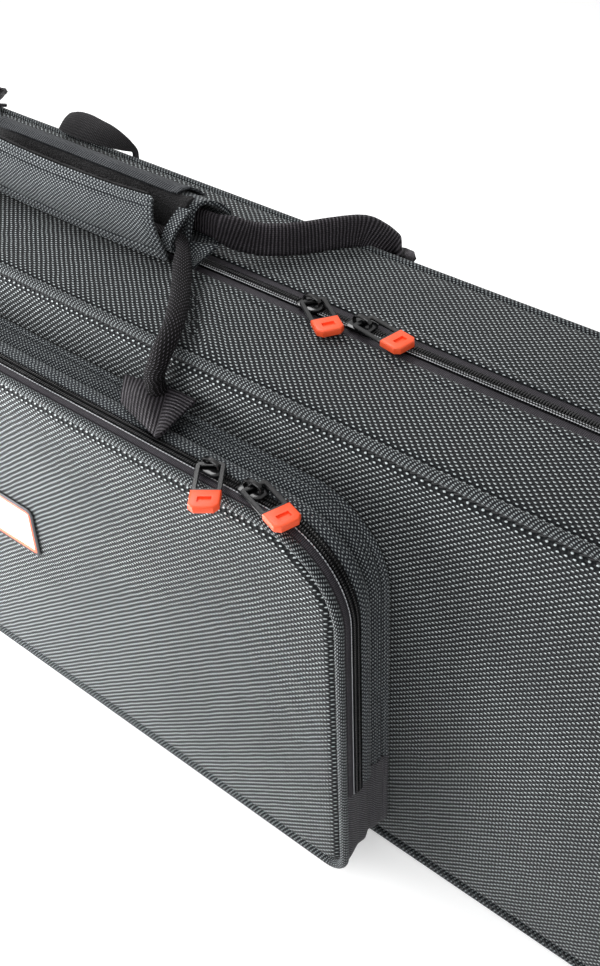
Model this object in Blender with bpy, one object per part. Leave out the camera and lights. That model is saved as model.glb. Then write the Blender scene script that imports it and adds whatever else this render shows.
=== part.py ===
"""An oblong, fabric-covered violin case, standing on its hinge side with both handles laid on top.

Metres, +Z up. +X runs along the case, -Y is the lid with its zipped pocket, +Y is the base.
The floor is at z = 0, and the case's box is centred over the origin.
"""

import math

import bmesh
import bpy
from mathutils import Matrix, Vector

mm = 0.001

# Overall sizes
CASE_LENGTH = 824 * mm
CASE_HEIGHT = 270 * mm
LID_DEPTH = 67.5 * mm
BASE_DEPTH = 67.5 * mm
TOP_CORNER = 45 * mm
LOW_CORNER = 12 * mm
LEAST_CORNER = 0.5 * mm

# Covers, shells and linings
GAP = 0.3 * mm
OVERRUN = 10 * mm
COVER = 1.6 * mm
PIPING = 4.8 * mm
PANEL_SINK = 0.6 * mm
SHELL_INSET = 2.1 * mm
SHELL_WALL = 5 * mm
LINING_WALL = 12 * mm
LINING_FLOOR = 7 * mm
LID_RIM_SINK = 0.5 * mm
BASE_RIM_SINK = 4 * mm

# Main zip and fabric hinge
TAPE_WIDTH = 8.6 * mm
TAPE_SINK = 0.8 * mm
TAPE_THICK = 1.0 * mm
COIL_WIDTH = 3.6 * mm
COIL_RISE = 0.9 * mm
COIL_THICK = 1.4 * mm
ZIP_END_HEIGHT = 40 * mm

# Front pocket
POCKET_LENGTH = 525 * mm
POCKET_DEPTH = 37.6 * mm
POCKET_LOW = 14.5 * mm
POCKET_TOP_DROP = 32 * mm
POCKET_TOP_CORNER = 45 * mm
POCKET_LOW_CORNER = 14 * mm
BACK_GUSSET_DEPTH = 15 * mm
BACK_GUSSET_INSET = 3 * mm
MID_GUSSET_DEPTH = 8 * mm
POCKET_COIL_WIDTH = 2.2 * mm
POCKET_PIPING = 4.6 * mm
POCKET_PIPING_INSET = 2.6 * mm
POCKET_PANEL_THICK = 3 * mm
POCKET_ZIP_END_HEIGHT = 77 * mm
POCKET_SLIDER_LIFT = 0.3 * mm

# Label
LABEL_LENGTH = 104 * mm
LABEL_HEIGHT = 34 * mm
LABEL_THICK = 2 * mm
LABEL_CORNER = 4 * mm
LABEL_BORDER = 4 * mm
LABEL_FIELD_DEPTH = 0.8 * mm

# Webbing handles
WEBBING_RADIUS = 6.5 * mm
WEBBING_GRIP_RADIUS = 4.5 * mm
WEBBING_TAPER_RUN = 14 * mm
GRIP_LIFT = 3 * mm
SLEEVE_LENGTH = 176 * mm
SLEEVE_DEPTH = 24 * mm
SLEEVE_HEIGHT = 30 * mm
SLEEVE_CORNER = 6 * mm
SLEEVE_FROM_ZIP = 9 * mm
SLEEVE_BORE_PLAY = 0.3 * mm
FLAP_LENGTH = 152 * mm
FLAP_HEIGHT = 35 * mm
FLAP_THICK = 3 * mm
FLAP_CORNER = 5 * mm
HOOK_STRIP_WIDTH = 8 * mm
HOOK_STRIP_THICK = 1.5 * mm
FRONT_WEBBING_FROM_SLEEVE = 0.5 * mm
FRONT_ANCHOR_X = 127 * mm
FRONT_ANCHOR_OFF = 0.7 * mm
REAR_ANCHOR_X = 158 * mm
REAR_ANCHOR_DROP = 8 * mm
ANCHOR_WIDTH = 46 * mm
FRONT_ANCHOR_DEPTH = 20 * mm
FRONT_ANCHOR_THICK = 5.6 * mm
REAR_ANCHOR_HEIGHT = 50 * mm
REAR_ANCHOR_THICK = 4 * mm
FRONT_ENTRY_X = 84 * mm
REAR_ENTRY_X = 92 * mm

# Hanging loop behind the top edge
LOOP_X = -64 * mm
LOOP_SPAN = 60 * mm
LOOP_CLEAR = 2 * mm
LOOP_RISE = 18 * mm
LOOP_DROP = 22 * mm
LOOP_WIDTH = 4 * mm
LOOP_THICK = 3 * mm
LOOP_LEAN = 12 * mm
LOOP_DEPTH = 13 * mm

# Zip sliders and pulls
SLIDER_LENGTH = 14 * mm
SLIDER_WIDTH = 11.2 * mm
POCKET_SLIDER_WIDTH = 9.2 * mm
SLIDER_PLATE = 1.5 * mm
ARCH_LENGTH = 11 * mm
ARCH_WIDTH = 2.4 * mm
ARCH_OPENING = 8.6 * mm
ARCH_CLEAR = 3.4 * mm
ARCH_BAR = 1.2 * mm
PULL_BAR = 1.5 * mm
PULL_LINK_LENGTH = 19 * mm
PULL_WIDTH = 13.6 * mm
PULL_CORNER = 2 * mm
TIP_LENGTH = 11 * mm
TIP_THICK = 5 * mm
TIP_CORNER = 2.6 * mm
SLIDER_X = {
    "main_left": 163 * mm,
    "main_right": 194 * mm,
    "pocket_left": 181 * mm,
    "pocket_right": 206 * mm,
}
PULL_YAW_DEGREES = {"main_left": -33, "main_right": -10, "pocket_left": -53, "pocket_right": -18}

# Violin space and compartments in the base
VIOLIN_BODY_LENGTH = 372 * mm
VIOLIN_BODY_WIDTH = 222 * mm
NECK_LENGTH = 250 * mm
NECK_WIDTH = 60 * mm
BODY_END_MARGIN = 14 * mm
BOX_MARGIN = 14 * mm
BOX_CORNER = 8 * mm
CRADLE_X = 78 * mm
CRADLE_LENGTH = 40 * mm
CRADLE_HEIGHT = 34 * mm
CRADLE_NOTCH = 15 * mm
STRAP_X = 132 * mm
STRAP_WIDTH = 25 * mm
STRAP_LENGTH = 66 * mm
STRAP_THICK = 2 * mm

# Bow fittings in the lid
BOW_SPACING = 90 * mm
CLIP_X = 290 * mm
CLIP_LENGTH = 46 * mm
CLIP_WIDTH = 14 * mm
CLIP_BAR = 4 * mm
CLIP_POST_RADIUS = 6 * mm
CLIP_POST_HEIGHT = 12 * mm
BOW_SLEEVE_X = -355 * mm
BOW_SLEEVE_LENGTH = 30 * mm
BOW_SLEEVE_HEIGHT = 18 * mm
BOW_SLEEVE_WIDTH = 24 * mm
BOW_SLEEVE_WALL = 2 * mm

# How finely round stretches are drawn
TOP_STEPS = 8
LOW_STEPS = 3
PIPING_SIDES = 8
TUBE_SIDES = 10
BORE_SIDES = 16
CAP_STEPS = 3
ROUTE_STEPS = 3
LOOP_STEPS = 12
LINK_STEPS = 2
EDGE_STEPS = 3
FLAT_DEGREES = 40
ROUND_DEGREES = 60

# Shares along the handle webbing, from the anchor (0) to the mouth of the grip (1), for x, y and z
FRONT_ROUTE_SHARES = (
    (-0.042, -0.015, 0.236), (-0.088, -0.0135, 0.477), (-0.102, 0.0345, 0.668), (-0.07, 0.141, 0.767),
    (0.028, 0.283, 0.794), (0.174, 0.433, 0.802), (0.349, 0.583, 0.818), (0.535, 0.726, 0.85),
    (0.709, 0.853, 0.903), (0.86, 0.943, 0.962),
)
REAR_ROUTE_SHARES = (
    (0.0, 0.015, 0.4), (0.075, 0.05, 0.76), (0.21, 0.19, 0.92), (0.39, 0.39, 0.92),
    (0.59, 0.62, 0.92), (0.77, 0.83, 0.94), (0.89, 0.96, 0.98),
)
# Half outline of the violin space: share of the body length, share of the half width
VIOLIN_SHARES = (
    (0.0, 0.33), (0.015, 0.58), (0.06, 0.82), (0.13, 0.96), (0.21, 1.0), (0.30, 0.96), (0.38, 0.83),
    (0.44, 0.68), (0.50, 0.61), (0.58, 0.60), (0.65, 0.67), (0.72, 0.77), (0.80, 0.82), (0.88, 0.80),
    (0.95, 0.66), (0.99, 0.42),
)

# Places worked out from the sizes
HALF = CASE_LENGTH / 2
POCKET_HALF = POCKET_LENGTH / 2
Y_ZIP = POCKET_DEPTH / 2
LID_FRONT = Y_ZIP - LID_DEPTH
BASE_BACK = Y_ZIP + BASE_DEPTH
POCKET_FRONT = LID_FRONT - POCKET_DEPTH
MID_Z = CASE_HEIGHT / 2
POCKET_HIGH = CASE_HEIGHT - POCKET_TOP_DROP
LABEL_LOW = MID_Z - LABEL_HEIGHT / 2
WEBBING_TAPER_START = REAR_ENTRY_X
WEBBING_TAPER_END = WEBBING_TAPER_START + WEBBING_TAPER_RUN
LINING_INSET = SHELL_INSET + SHELL_WALL + GAP
SHELL_START = PIPING + GAP
LINING_START = SHELL_START + SHELL_WALL + GAP
POCKET_HINGE_Y = POCKET_FRONT + POCKET_PIPING + GAP / 2
COIL_TOP = CASE_HEIGHT + COIL_RISE
GRIP_Z = CASE_HEIGHT + GRIP_LIFT + SLEEVE_HEIGHT / 2
SLEEVE_FRONT = Y_ZIP + SLEEVE_FROM_ZIP - SLEEVE_DEPTH / 2
FRONT_WEBBING_Y = SLEEVE_FRONT - FRONT_WEBBING_FROM_SLEEVE - WEBBING_GRIP_RADIUS
FLAP_BACK = FRONT_WEBBING_Y - WEBBING_GRIP_RADIUS - GAP

GREY_WEAVE = ("ballistic_nylon", (0.085, 0.092, 0.098), 0.75, 0.0)
DARK_TAPE = ("zip_tape", (0.022, 0.02, 0.024), 0.85, 0.0)
COIL = ("nylon_coil", (0.012, 0.012, 0.014), 0.35, 0.0)
WEBBING = ("webbing", (0.025, 0.022, 0.027), 0.8, 0.0)
SHELL = ("shell_board", (0.2, 0.19, 0.18), 0.7, 0.0)
PLUSH = ("plush_lining", (0.055, 0.058, 0.065), 0.95, 0.0)
BLACK_METAL = ("black_metal", (0.02, 0.02, 0.022), 0.35, 0.8)
ORANGE_RUBBER = ("orange_rubber", (1.0, 0.13, 0.06), 0.5, 0.0)
BLACK_RUBBER = ("black_rubber", (0.02, 0.02, 0.02), 0.6, 0.0)
WHITE_FIELD = ("white_field", (0.85, 0.85, 0.85), 0.6, 0.0)
BLACK_PLASTIC = ("black_plastic", (0.03, 0.03, 0.03), 0.4, 0.0)
HOOK_TAPE = ("hook_tape", (0.01, 0.01, 0.01), 0.95, 0.0)


def clear_scene():
    for obj in list(bpy.data.objects):
        bpy.data.objects.remove(obj, do_unlink=True)


def material(look):
    name, colour, roughness, metallic = look
    found = bpy.data.materials.get(name)
    if found:
        return found
    made = bpy.data.materials.new(name)
    made.use_nodes = True
    shader = made.node_tree.nodes["Principled BSDF"]
    shader.inputs["Base Color"].default_value = (*colour, 1.0)
    shader.inputs["Roughness"].default_value = roughness
    shader.inputs["Metallic"].default_value = metallic
    return made


def finish(name, bm, look, smooth_degrees=FLAT_DEGREES):
    """Makes the object, with its faces pointing out and only its sharp edges left sharp."""
    bmesh.ops.recalc_face_normals(bm, faces=bm.faces)
    mesh = bpy.data.meshes.new(name)
    bm.to_mesh(mesh)
    bm.free()
    mesh.shade_smooth()
    mesh.set_sharp_from_angle(angle=math.radians(smooth_degrees))
    mesh.materials.append(material(look))
    obj = bpy.data.objects.new(name, mesh)
    bpy.context.scene.collection.objects.link(obj)
    return obj


def loft(sections, ring=False):
    """A closed surface through loops of as many points: its ends are joined to each other, or capped."""
    bm = bmesh.new()
    loops = [[bm.verts.new(point) for point in section] for section in sections]
    pairs = list(zip(loops, loops[1:]))
    if ring:
        pairs.append((loops[-1], loops[0]))
    else:
        bm.faces.new(loops[0])
        bm.faces.new(loops[-1])
    for first, second in pairs:
        for i in range(len(first)):
            j = (i + 1) % len(first)
            bm.faces.new((first[i], first[j], second[j], second[i]))
    return bm


def arc(x, z, radius, start, steps):
    """A quarter circle of (x, z) points, anticlockwise from its start angle in degrees."""
    turns = [math.radians(start + 90 * i / steps) for i in range(steps + 1)]
    return [(x + radius * math.cos(t), z + radius * math.sin(t)) for t in turns]


def rounded(half, low, high, top_radius, low_radius, inset, top_steps=TOP_STEPS, low_steps=LOW_STEPS):
    """A rounded rectangle drawn in by the inset: four arcs, from the lower right round to the lower left."""
    top = max(top_radius - inset, LEAST_CORNER)
    base = max(low_radius - inset, LEAST_CORNER)
    x, z0, z1 = half - inset, low + inset, high - inset
    return (
        arc(x - base, z0 + base, base, -90, low_steps)
        + arc(x - top, z1 - top, top, 0, top_steps)
        + arc(top - x, z1 - top, top, 90, top_steps)
        + arc(base - x, z0 + base, base, 180, low_steps)
    )


def case_outline(inset):
    return rounded(HALF, 0, CASE_HEIGHT, TOP_CORNER, LOW_CORNER, inset)


def pocket_outline(inset):
    return rounded(POCKET_HALF, POCKET_LOW, POCKET_HIGH, POCKET_TOP_CORNER, POCKET_LOW_CORNER, inset)


def upper_run(outline, end_height, inset):
    """The outline's stretch above the end height: up one end, over the top and down the other."""
    points = outline(inset)
    top = [p for i, p in enumerate(points) if LOW_STEPS < i < len(points) - LOW_STEPS - 1]
    x = top[0][0]
    return [(x, end_height)] + top + [(-x, end_height)]


def lower_run(outline, end_height, inset):
    """The rest of the outline, down one end, along the bottom and up the other."""
    points = outline(inset)
    left = points[-LOW_STEPS - 1:]
    right = points[:LOW_STEPS + 1]
    return [(left[0][0], end_height - GAP)] + left + right + [(right[-1][0], end_height - GAP)]


def at(points, y):
    return [(x, y, z) for x, z in points]


def slab(name, outline, inset, y0, y1, look):
    return finish(name, loft([at(outline(inset), y0), at(outline(inset), y1)]), look)


def band(name, outline, inset0, inset1, y0, y1, look):
    """A wall that runs all the way round the outline."""
    outer, inner = outline(inset0), outline(inset1)
    return finish(name, loft([at(outer, y0), at(outer, y1), at(inner, y1), at(inner, y0)], ring=True), look)


def strip(name, run, outline, end_height, inset0, inset1, y0, y1, look):
    """A wall along one stretch of the outline, with two ends."""
    outer = run(outline, end_height, inset0)
    inner = run(outline, end_height, inset1)
    sections = [
        [(a[0], y0, a[1]), (a[0], y1, a[1]), (b[0], y1, b[1]), (b[0], y0, b[1])]
        for a, b in zip(outer, inner)
    ]
    return finish(name, loft(sections), look)


def tray(name, outline, inset, wall, y_back, y_floor, y_rim, look):
    """A floor with a wall all round it, open towards the rim."""
    outer, inner = outline(inset), outline(inset + wall)
    sections = [at(outer, y_back), at(outer, y_rim), at(inner, y_rim), at(inner, y_floor)]
    return finish(name, loft(sections), look)


def bead(name, outline, inset, y, radius, look):
    """A round cord sewn in along the outline."""
    turns = [2 * math.pi * i / PIPING_SIDES for i in range(PIPING_SIDES)]
    sections = [at(outline(inset - radius * math.cos(t)), y + radius * math.sin(t)) for t in turns]
    return finish(name, loft(sections, ring=True), look, smooth_degrees=ROUND_DEGREES)


def block(name, low, high, look, corner=0.0, along=1):
    """A box from corner to corner, its edges along one axis rounded."""
    size = [b - a for a, b in zip(low, high)]
    bm = bmesh.new()
    bmesh.ops.create_cube(bm, size=1)
    bmesh.ops.scale(bm, vec=size, verts=bm.verts)
    bmesh.ops.translate(bm, vec=[(a + b) / 2 for a, b in zip(low, high)], verts=bm.verts)
    if corner:
        edges = [e for e in bm.edges if abs((e.verts[1].co - e.verts[0].co).normalized()[along]) > 0.9]
        bmesh.ops.bevel(bm, geom=edges, offset=corner, segments=EDGE_STEPS, profile=0.5, affect="EDGES")
    return finish(name, bm, look)


def cut(obj, cutter, operation="DIFFERENCE"):
    """Cuts the hidden cutter from the object, or joins it on."""
    cutter.hide_render = True
    cutter.display_type = "WIRE"
    modifier = obj.modifiers.new(cutter.name, "BOOLEAN")
    modifier.operation = operation
    modifier.solver = "EXACT"
    modifier.object = cutter


def pivot(name, place, parent=None):
    """An empty on a joint's axis."""
    empty = bpy.data.objects.new(name, None)
    empty.location = place
    empty.empty_display_size = CLIP_LENGTH
    bpy.context.scene.collection.objects.link(empty)
    bpy.context.view_layer.update()
    if parent:
        hang(empty, parent)
    return empty


def hang(obj, parent):
    """Parents the object where it stands."""
    bpy.context.view_layer.update()
    obj.parent = parent
    obj.matrix_parent_inverse = parent.matrix_world.inverted()


def hang_all(parent, *objects):
    for obj in objects:
        hang(obj, parent)


def smooth_route(points, steps):
    """A smooth curve through the points, with so many steps from each to the next."""
    ends = [2 * points[0] - points[1]] + points + [2 * points[-1] - points[-2]]
    route = []
    for a, b, c, d in zip(ends, ends[1:], ends[2:], ends[3:]):
        for i in range(steps):
            t = i / steps
            route.append(0.5 * (2 * b + (c - a) * t + (2 * a - 5 * b + 4 * c - d) * t ** 2
                                + (3 * b - a - 3 * c + d) * t ** 3))
    return route + [points[-1]]


def tube(name, route, radii, look):
    """A round tube along the route, with a domed end at each end."""
    tangents = []
    for i in range(len(route)):
        ahead, behind = route[min(i + 1, len(route) - 1)], route[max(i - 1, 0)]
        tangents.append((ahead - behind).normalized())
    side = tangents[0].orthogonal().normalized()
    frames = []
    for tangent in tangents:
        side = (side - tangent * side.dot(tangent)).normalized()
        frames.append((side.copy(), tangent.cross(side)))
    centres = list(zip(route, radii, frames))
    domes = [math.radians(90 * i / (CAP_STEPS + 1)) for i in range(CAP_STEPS, 0, -1)]

    def dome(end, tangent, turn):
        return route[end] + tangent * radii[end] * math.sin(turn), radii[end] * math.cos(turn), frames[end]

    first = [dome(0, -tangents[0], t) for t in domes]
    last = [dome(-1, tangents[-1], t) for t in reversed(domes)]
    turns = [2 * math.pi * i / TUBE_SIDES for i in range(TUBE_SIDES)]
    sections = [
        [centre + radius * (math.cos(t) * u + math.sin(t) * v) for t in turns]
        for centre, radius, (u, v) in first + centres + last
    ]
    return finish(name, loft(sections), look, smooth_degrees=ROUND_DEGREES)


def half_case(side, sign, face):
    """One half's cover, piping, shell, half zip and half hinge. The sign points from the zip outwards."""
    def y(distance):
        return face - sign * distance

    zip_edge = Y_ZIP + sign * GAP / 2
    rim = Y_ZIP + sign * LID_RIM_SINK
    tape_edge = Y_ZIP + sign * TAPE_WIDTH
    return [
        slab(side + "_outer_panel", case_outline, PIPING + GAP, y(PANEL_SINK), y(PIPING), GREY_WEAVE),
        bead(side + "_piping", case_outline, PIPING / 2, y(PIPING / 2), PIPING / 2, GREY_WEAVE),
        band(side + "_side_band", case_outline, 0, COVER, y(SHELL_START), tape_edge + sign * GAP, GREY_WEAVE),
        tray(side + "_shell", case_outline, SHELL_INSET, SHELL_WALL, y(SHELL_START),
             y(SHELL_START + SHELL_WALL), rim, SHELL),
        strip(side + "_zip_tape", upper_run, case_outline, ZIP_END_HEIGHT, TAPE_SINK, TAPE_SINK + TAPE_THICK,
              tape_edge, Y_ZIP + sign * (COIL_WIDTH + GAP), DARK_TAPE),
        strip(side + "_zip_coil", upper_run, case_outline, ZIP_END_HEIGHT, -COIL_RISE, COIL_THICK - COIL_RISE,
              Y_ZIP + sign * COIL_WIDTH, zip_edge, COIL),
        strip(side + "_hinge_strip", lower_run, case_outline, ZIP_END_HEIGHT, 0, COVER,
              tape_edge, zip_edge, DARK_TAPE),
    ]


def violin_cutter(floor, rim):
    """The space for the instrument: its body's bouts and waist, then the neck and scroll."""
    start = -HALF + LINING_INSET + BODY_END_MARGIN
    upper = [(start + u * VIOLIN_BODY_LENGTH, v * VIOLIN_BODY_WIDTH / 2) for u, v in VIOLIN_SHARES]
    neck_start = start + VIOLIN_BODY_LENGTH
    neck_end = neck_start + NECK_LENGTH
    upper += [(neck_start, NECK_WIDTH / 2), (neck_end, NECK_WIDTH / 2)]
    outline = [(x, MID_Z + z) for x, z in upper] + [(x, MID_Z - z) for x, z in reversed(upper)]
    return finish("violin_cutter", loft([at(outline, floor), at(outline, rim)]), PLUSH)


def compartments():
    """(name, low x, high x, low z, high z) of the three accessory compartments."""
    inner = HALF - LINING_INSET
    neck_start = -inner + BODY_END_MARGIN + VIOLIN_BODY_LENGTH
    neck_end = neck_start + NECK_LENGTH
    low, high = LINING_INSET + BOX_MARGIN, CASE_HEIGHT - LINING_INSET - BOX_MARGIN
    beside = NECK_WIDTH / 2 + BOX_MARGIN
    side_start = neck_start + 2 * BOX_MARGIN
    return [
        ("end_box", neck_end + BOX_MARGIN, inner - BOX_MARGIN, low, high),
        ("upper_box", side_start, neck_end, MID_Z + beside, high),
        ("lower_box", side_start, neck_end, low, MID_Z - beside),
    ]


def base_interior():
    """The plush insert with its violin space and compartments, and what is fixed in it."""
    back = BASE_BACK - LINING_START
    floor = back - LINING_FLOOR
    rim = Y_ZIP + BASE_RIM_SINK
    lining = slab("base_lining", case_outline, LINING_INSET, back, rim, PLUSH)
    cut(lining, violin_cutter(floor, rim - OVERRUN))
    for name, x0, x1, z0, z1 in compartments():
        cutter = block(name + "_cutter", (x0, rim - OVERRUN, z0), (x1, floor, z1), PLUSH, BOX_CORNER)
        cut(lining, cutter)
    half_neck = NECK_WIDTH / 2 - GAP
    top = floor - GAP - CRADLE_HEIGHT
    cradle = block("neck_cradle", (CRADLE_X - CRADLE_LENGTH / 2, top, MID_Z - half_neck),
                   (CRADLE_X + CRADLE_LENGTH / 2, floor - GAP, MID_Z + half_neck), PLUSH)
    notch = notch_cutter(top)
    cut(cradle, notch)
    strap_low = MID_Z - STRAP_LENGTH / 2
    strap = block("neck_strap", (STRAP_X - STRAP_WIDTH / 2, rim - GAP - STRAP_THICK, strap_low),
                  (STRAP_X + STRAP_WIDTH / 2, rim - GAP, strap_low + STRAP_LENGTH), WEBBING)
    return [lining, cradle], strap, strap_low


def notch_cutter(top):
    """A round-bottomed groove along X that the violin's neck lies in."""
    half = CRADLE_LENGTH / 2 + OVERRUN
    deep = top + CRADLE_NOTCH
    turns = [math.pi * i / TUBE_SIDES for i in range(TUBE_SIDES + 1)]
    section = [(deep + CRADLE_NOTCH * math.sin(t), MID_Z + CRADLE_NOTCH * math.cos(t)) for t in turns]
    section += [(top - OVERRUN, MID_Z - CRADLE_NOTCH), (top - OVERRUN, MID_Z + CRADLE_NOTCH)]
    ends = [[(x, y, z) for y, z in section] for x in (CRADLE_X - half, CRADLE_X + half)]
    return finish("notch_cutter", loft(ends), PLUSH)


def lid_interior():
    """The padded lid lining and the two fabric sleeves that hold the bows' tips."""
    back = LID_FRONT + LINING_START
    floor = back + LINING_FLOOR
    rim = Y_ZIP - LID_RIM_SINK
    pieces = [tray("lid_lining", case_outline, LINING_INSET, LINING_WALL, back, floor, rim, PLUSH)]
    for name, z in (("lower", MID_Z - BOW_SPACING / 2), ("upper", MID_Z + BOW_SPACING / 2)):
        x0, x1 = BOW_SLEEVE_X - BOW_SLEEVE_LENGTH / 2, BOW_SLEEVE_X + BOW_SLEEVE_LENGTH / 2
        pieces.append(square_sleeve(name + "_bow_sleeve", x0, x1, floor + GAP, z))
    return pieces, floor


def square_sleeve(name, x0, x1, y, z):
    half = BOW_SLEEVE_WIDTH / 2

    def square(x, inset):
        low, high = y + inset, y + BOW_SLEEVE_HEIGHT - inset
        side = half - inset
        return [(x, low, z - side), (x, high, z - side), (x, high, z + side), (x, low, z + side)]

    sections = [square(x0, 0), square(x1, 0), square(x1, BOW_SLEEVE_WALL), square(x0, BOW_SLEEVE_WALL)]
    return finish(name, loft(sections, ring=True), WEBBING)


def bow_clip(name, floor, z):
    """A turn button on a round post, upright while it holds no bow."""
    foot, head = floor + GAP, floor + GAP + CLIP_POST_HEIGHT
    low = (CLIP_X - CLIP_WIDTH / 2, head, z - CLIP_LENGTH / 2)
    high = (CLIP_X + CLIP_WIDTH / 2, head + CLIP_BAR, z + CLIP_LENGTH / 2)
    clip = block(name, low, high, BLACK_PLASTIC, CLIP_POST_RADIUS)
    post = round_cutter(name + "_post_cutter", CLIP_POST_RADIUS, foot, head + CLIP_BAR / 2, (CLIP_X, z), 1)
    cut(clip, post, "UNION")
    return clip


def pocket_pieces():
    """The zipped pocket: what is sewn to the lid, and the front that folds down."""
    back = LID_FRONT - GAP
    mid = back - BACK_GUSSET_DEPTH
    front = mid - GAP - MID_GUSSET_DEPTH
    coil_back = front - GAP
    coil_mid = coil_back - POCKET_COIL_WIDTH
    coil_front = coil_mid - GAP - POCKET_COIL_WIDTH
    tape_front = POCKET_FRONT + POCKET_PIPING + GAP
    end = POCKET_ZIP_END_HEIGHT
    coil = (-COIL_RISE, COIL_THICK - COIL_RISE)
    fixed = [
        band("pocket_back_gusset", pocket_outline, BACK_GUSSET_INSET, BACK_GUSSET_INSET + 2 * COVER,
             back, mid, GREY_WEAVE),
        band("pocket_mid_gusset", pocket_outline, 0, BACK_GUSSET_INSET + COVER, mid - GAP, front, GREY_WEAVE),
        strip("pocket_rear_coil", upper_run, pocket_outline, end, *coil, coil_back, coil_mid, COIL),
        strip("pocket_lower_gusset", lower_run, pocket_outline, end, 0, 2 * COVER,
              coil_back, tape_front, GREY_WEAVE),
    ]
    panel_back = POCKET_FRONT + PANEL_SINK + POCKET_PANEL_THICK
    bead_radius = POCKET_PIPING / 2
    moving = [
        strip("pocket_front_coil", upper_run, pocket_outline, end, *coil, coil_mid - GAP, coil_front, COIL),
        strip("pocket_front_tape", upper_run, pocket_outline, end, TAPE_SINK, TAPE_SINK + TAPE_THICK,
              coil_front - GAP, tape_front, DARK_TAPE),
        bead("pocket_piping", pocket_outline, POCKET_PIPING_INSET, POCKET_FRONT + bead_radius, bead_radius,
             GREY_WEAVE),
        slab("pocket_panel", pocket_outline, POCKET_PIPING_INSET + bead_radius + GAP,
             POCKET_FRONT + PANEL_SINK, panel_back, GREY_WEAVE),
    ]
    return fixed, moving + label(), (coil_mid - GAP / 2)


def label():
    """A moulded rubber badge with a raised border round a plain field."""
    half = LABEL_LENGTH / 2
    back = POCKET_FRONT + PANEL_SINK - GAP
    face = back - LABEL_THICK
    badge = block("label_badge", (-half, face, LABEL_LOW), (half, back, LABEL_LOW + LABEL_HEIGHT),
                  BLACK_RUBBER, LABEL_CORNER)
    low = LABEL_LOW + LABEL_BORDER
    high = LABEL_LOW + LABEL_HEIGHT - LABEL_BORDER
    side = half - LABEL_BORDER
    recess = (side, face + LABEL_FIELD_DEPTH, high)
    cut(badge, block("label_cutter", (-side, face - OVERRUN, low), recess, BLACK_RUBBER))
    field = block("label_field", (GAP - side, face + GAP, low + GAP),
                  (side - GAP, face + LABEL_FIELD_DEPTH - GAP, high - GAP), WHITE_FIELD)
    return [badge, field]


def webbing_handle(name, anchor, mouth, shares):
    """A folded webbing strap from one anchor through the grip to the mirrored anchor."""
    run = mouth - anchor
    between = [anchor + Vector(share * step for share, step in zip(row, run)) for row in shares]
    half = smooth_route([anchor] + between + [mouth], ROUTE_STEPS)
    mirrored = [Vector((-p.x, p.y, p.z)) for p in reversed(half)]
    route = half + mirrored
    grow = WEBBING_TAPER_END - WEBBING_TAPER_START
    radii = []
    for point in route:
        share = min(max((abs(point.x) - WEBBING_TAPER_START) / grow, 0), 1)
        radii.append(WEBBING_GRIP_RADIUS + share * (WEBBING_RADIUS - WEBBING_GRIP_RADIUS))
    return tube(name, route, radii, WEBBING)


def front_anchor_axis():
    return Vector((FRONT_ANCHOR_X, LID_FRONT - WEBBING_RADIUS - FRONT_ANCHOR_OFF,
                   POCKET_HIGH + GAP + FRONT_ANCHOR_THICK + GAP + WEBBING_RADIUS))


def rear_anchor_axis():
    return Vector((REAR_ANCHOR_X, BASE_BACK + WEBBING_RADIUS + GAP, CASE_HEIGHT - REAR_ANCHOR_DROP))


def front_anchor(name, x):
    """The strap's spread end, stitched down over the pocket's top."""
    axis = front_anchor_axis()
    low = axis.z - WEBBING_RADIUS - GAP - FRONT_ANCHOR_THICK
    back = LID_FRONT - FRONT_ANCHOR_OFF
    return block(name, (x - ANCHOR_WIDTH / 2, back - FRONT_ANCHOR_DEPTH, low),
                 (x + ANCHOR_WIDTH / 2, back, low + FRONT_ANCHOR_THICK), WEBBING)


def rear_anchor(name, x):
    """The strap's spread end, stitched to the back under the top edge."""
    axis = rear_anchor_axis()
    reach = WEBBING_RADIUS + GAP
    drop = math.sqrt(reach ** 2 - (axis.y - BASE_BACK - GAP - REAR_ANCHOR_THICK) ** 2)
    high = axis.z - drop
    face = BASE_BACK + GAP
    return block(name, (x - ANCHOR_WIDTH / 2, face, high - REAR_ANCHOR_HEIGHT),
                 (x + ANCHOR_WIDTH / 2, face + REAR_ANCHOR_THICK, high), WEBBING)


def round_cutter(name, radius, low, high, axis, along):
    """A many-sided rod that clears the radius all round, from low to high along X (0) or Y (1)."""
    reach = radius / math.cos(math.pi / BORE_SIDES)
    turns = [2 * math.pi * i / BORE_SIDES for i in range(BORE_SIDES)]
    circle = [(axis[0] + reach * math.cos(t), axis[1] + reach * math.sin(t)) for t in turns]
    if along:
        return finish(name, loft([at(circle, low), at(circle, high)]), BLACK_PLASTIC)
    return finish(name, loft([[(x, a, b) for a, b in circle] for x in (low, high)]), BLACK_PLASTIC)


def grip_sleeve():
    """The padded inner wrap round the rear strap."""
    y = Y_ZIP + SLEEVE_FROM_ZIP
    half = SLEEVE_LENGTH / 2
    low = (-half, y - SLEEVE_DEPTH / 2, GRIP_Z - SLEEVE_HEIGHT / 2)
    high = (half, y + SLEEVE_DEPTH / 2, GRIP_Z + SLEEVE_HEIGHT / 2)
    sleeve = block("grip_sleeve", low, high, GREY_WEAVE, SLEEVE_CORNER, along=0)
    bore = WEBBING_GRIP_RADIUS + SLEEVE_BORE_PLAY
    reach = half + OVERRUN
    cut(sleeve, round_cutter("sleeve_bore_cutter", bore, -reach, reach, (y, GRIP_Z), 0))
    return sleeve


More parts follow.
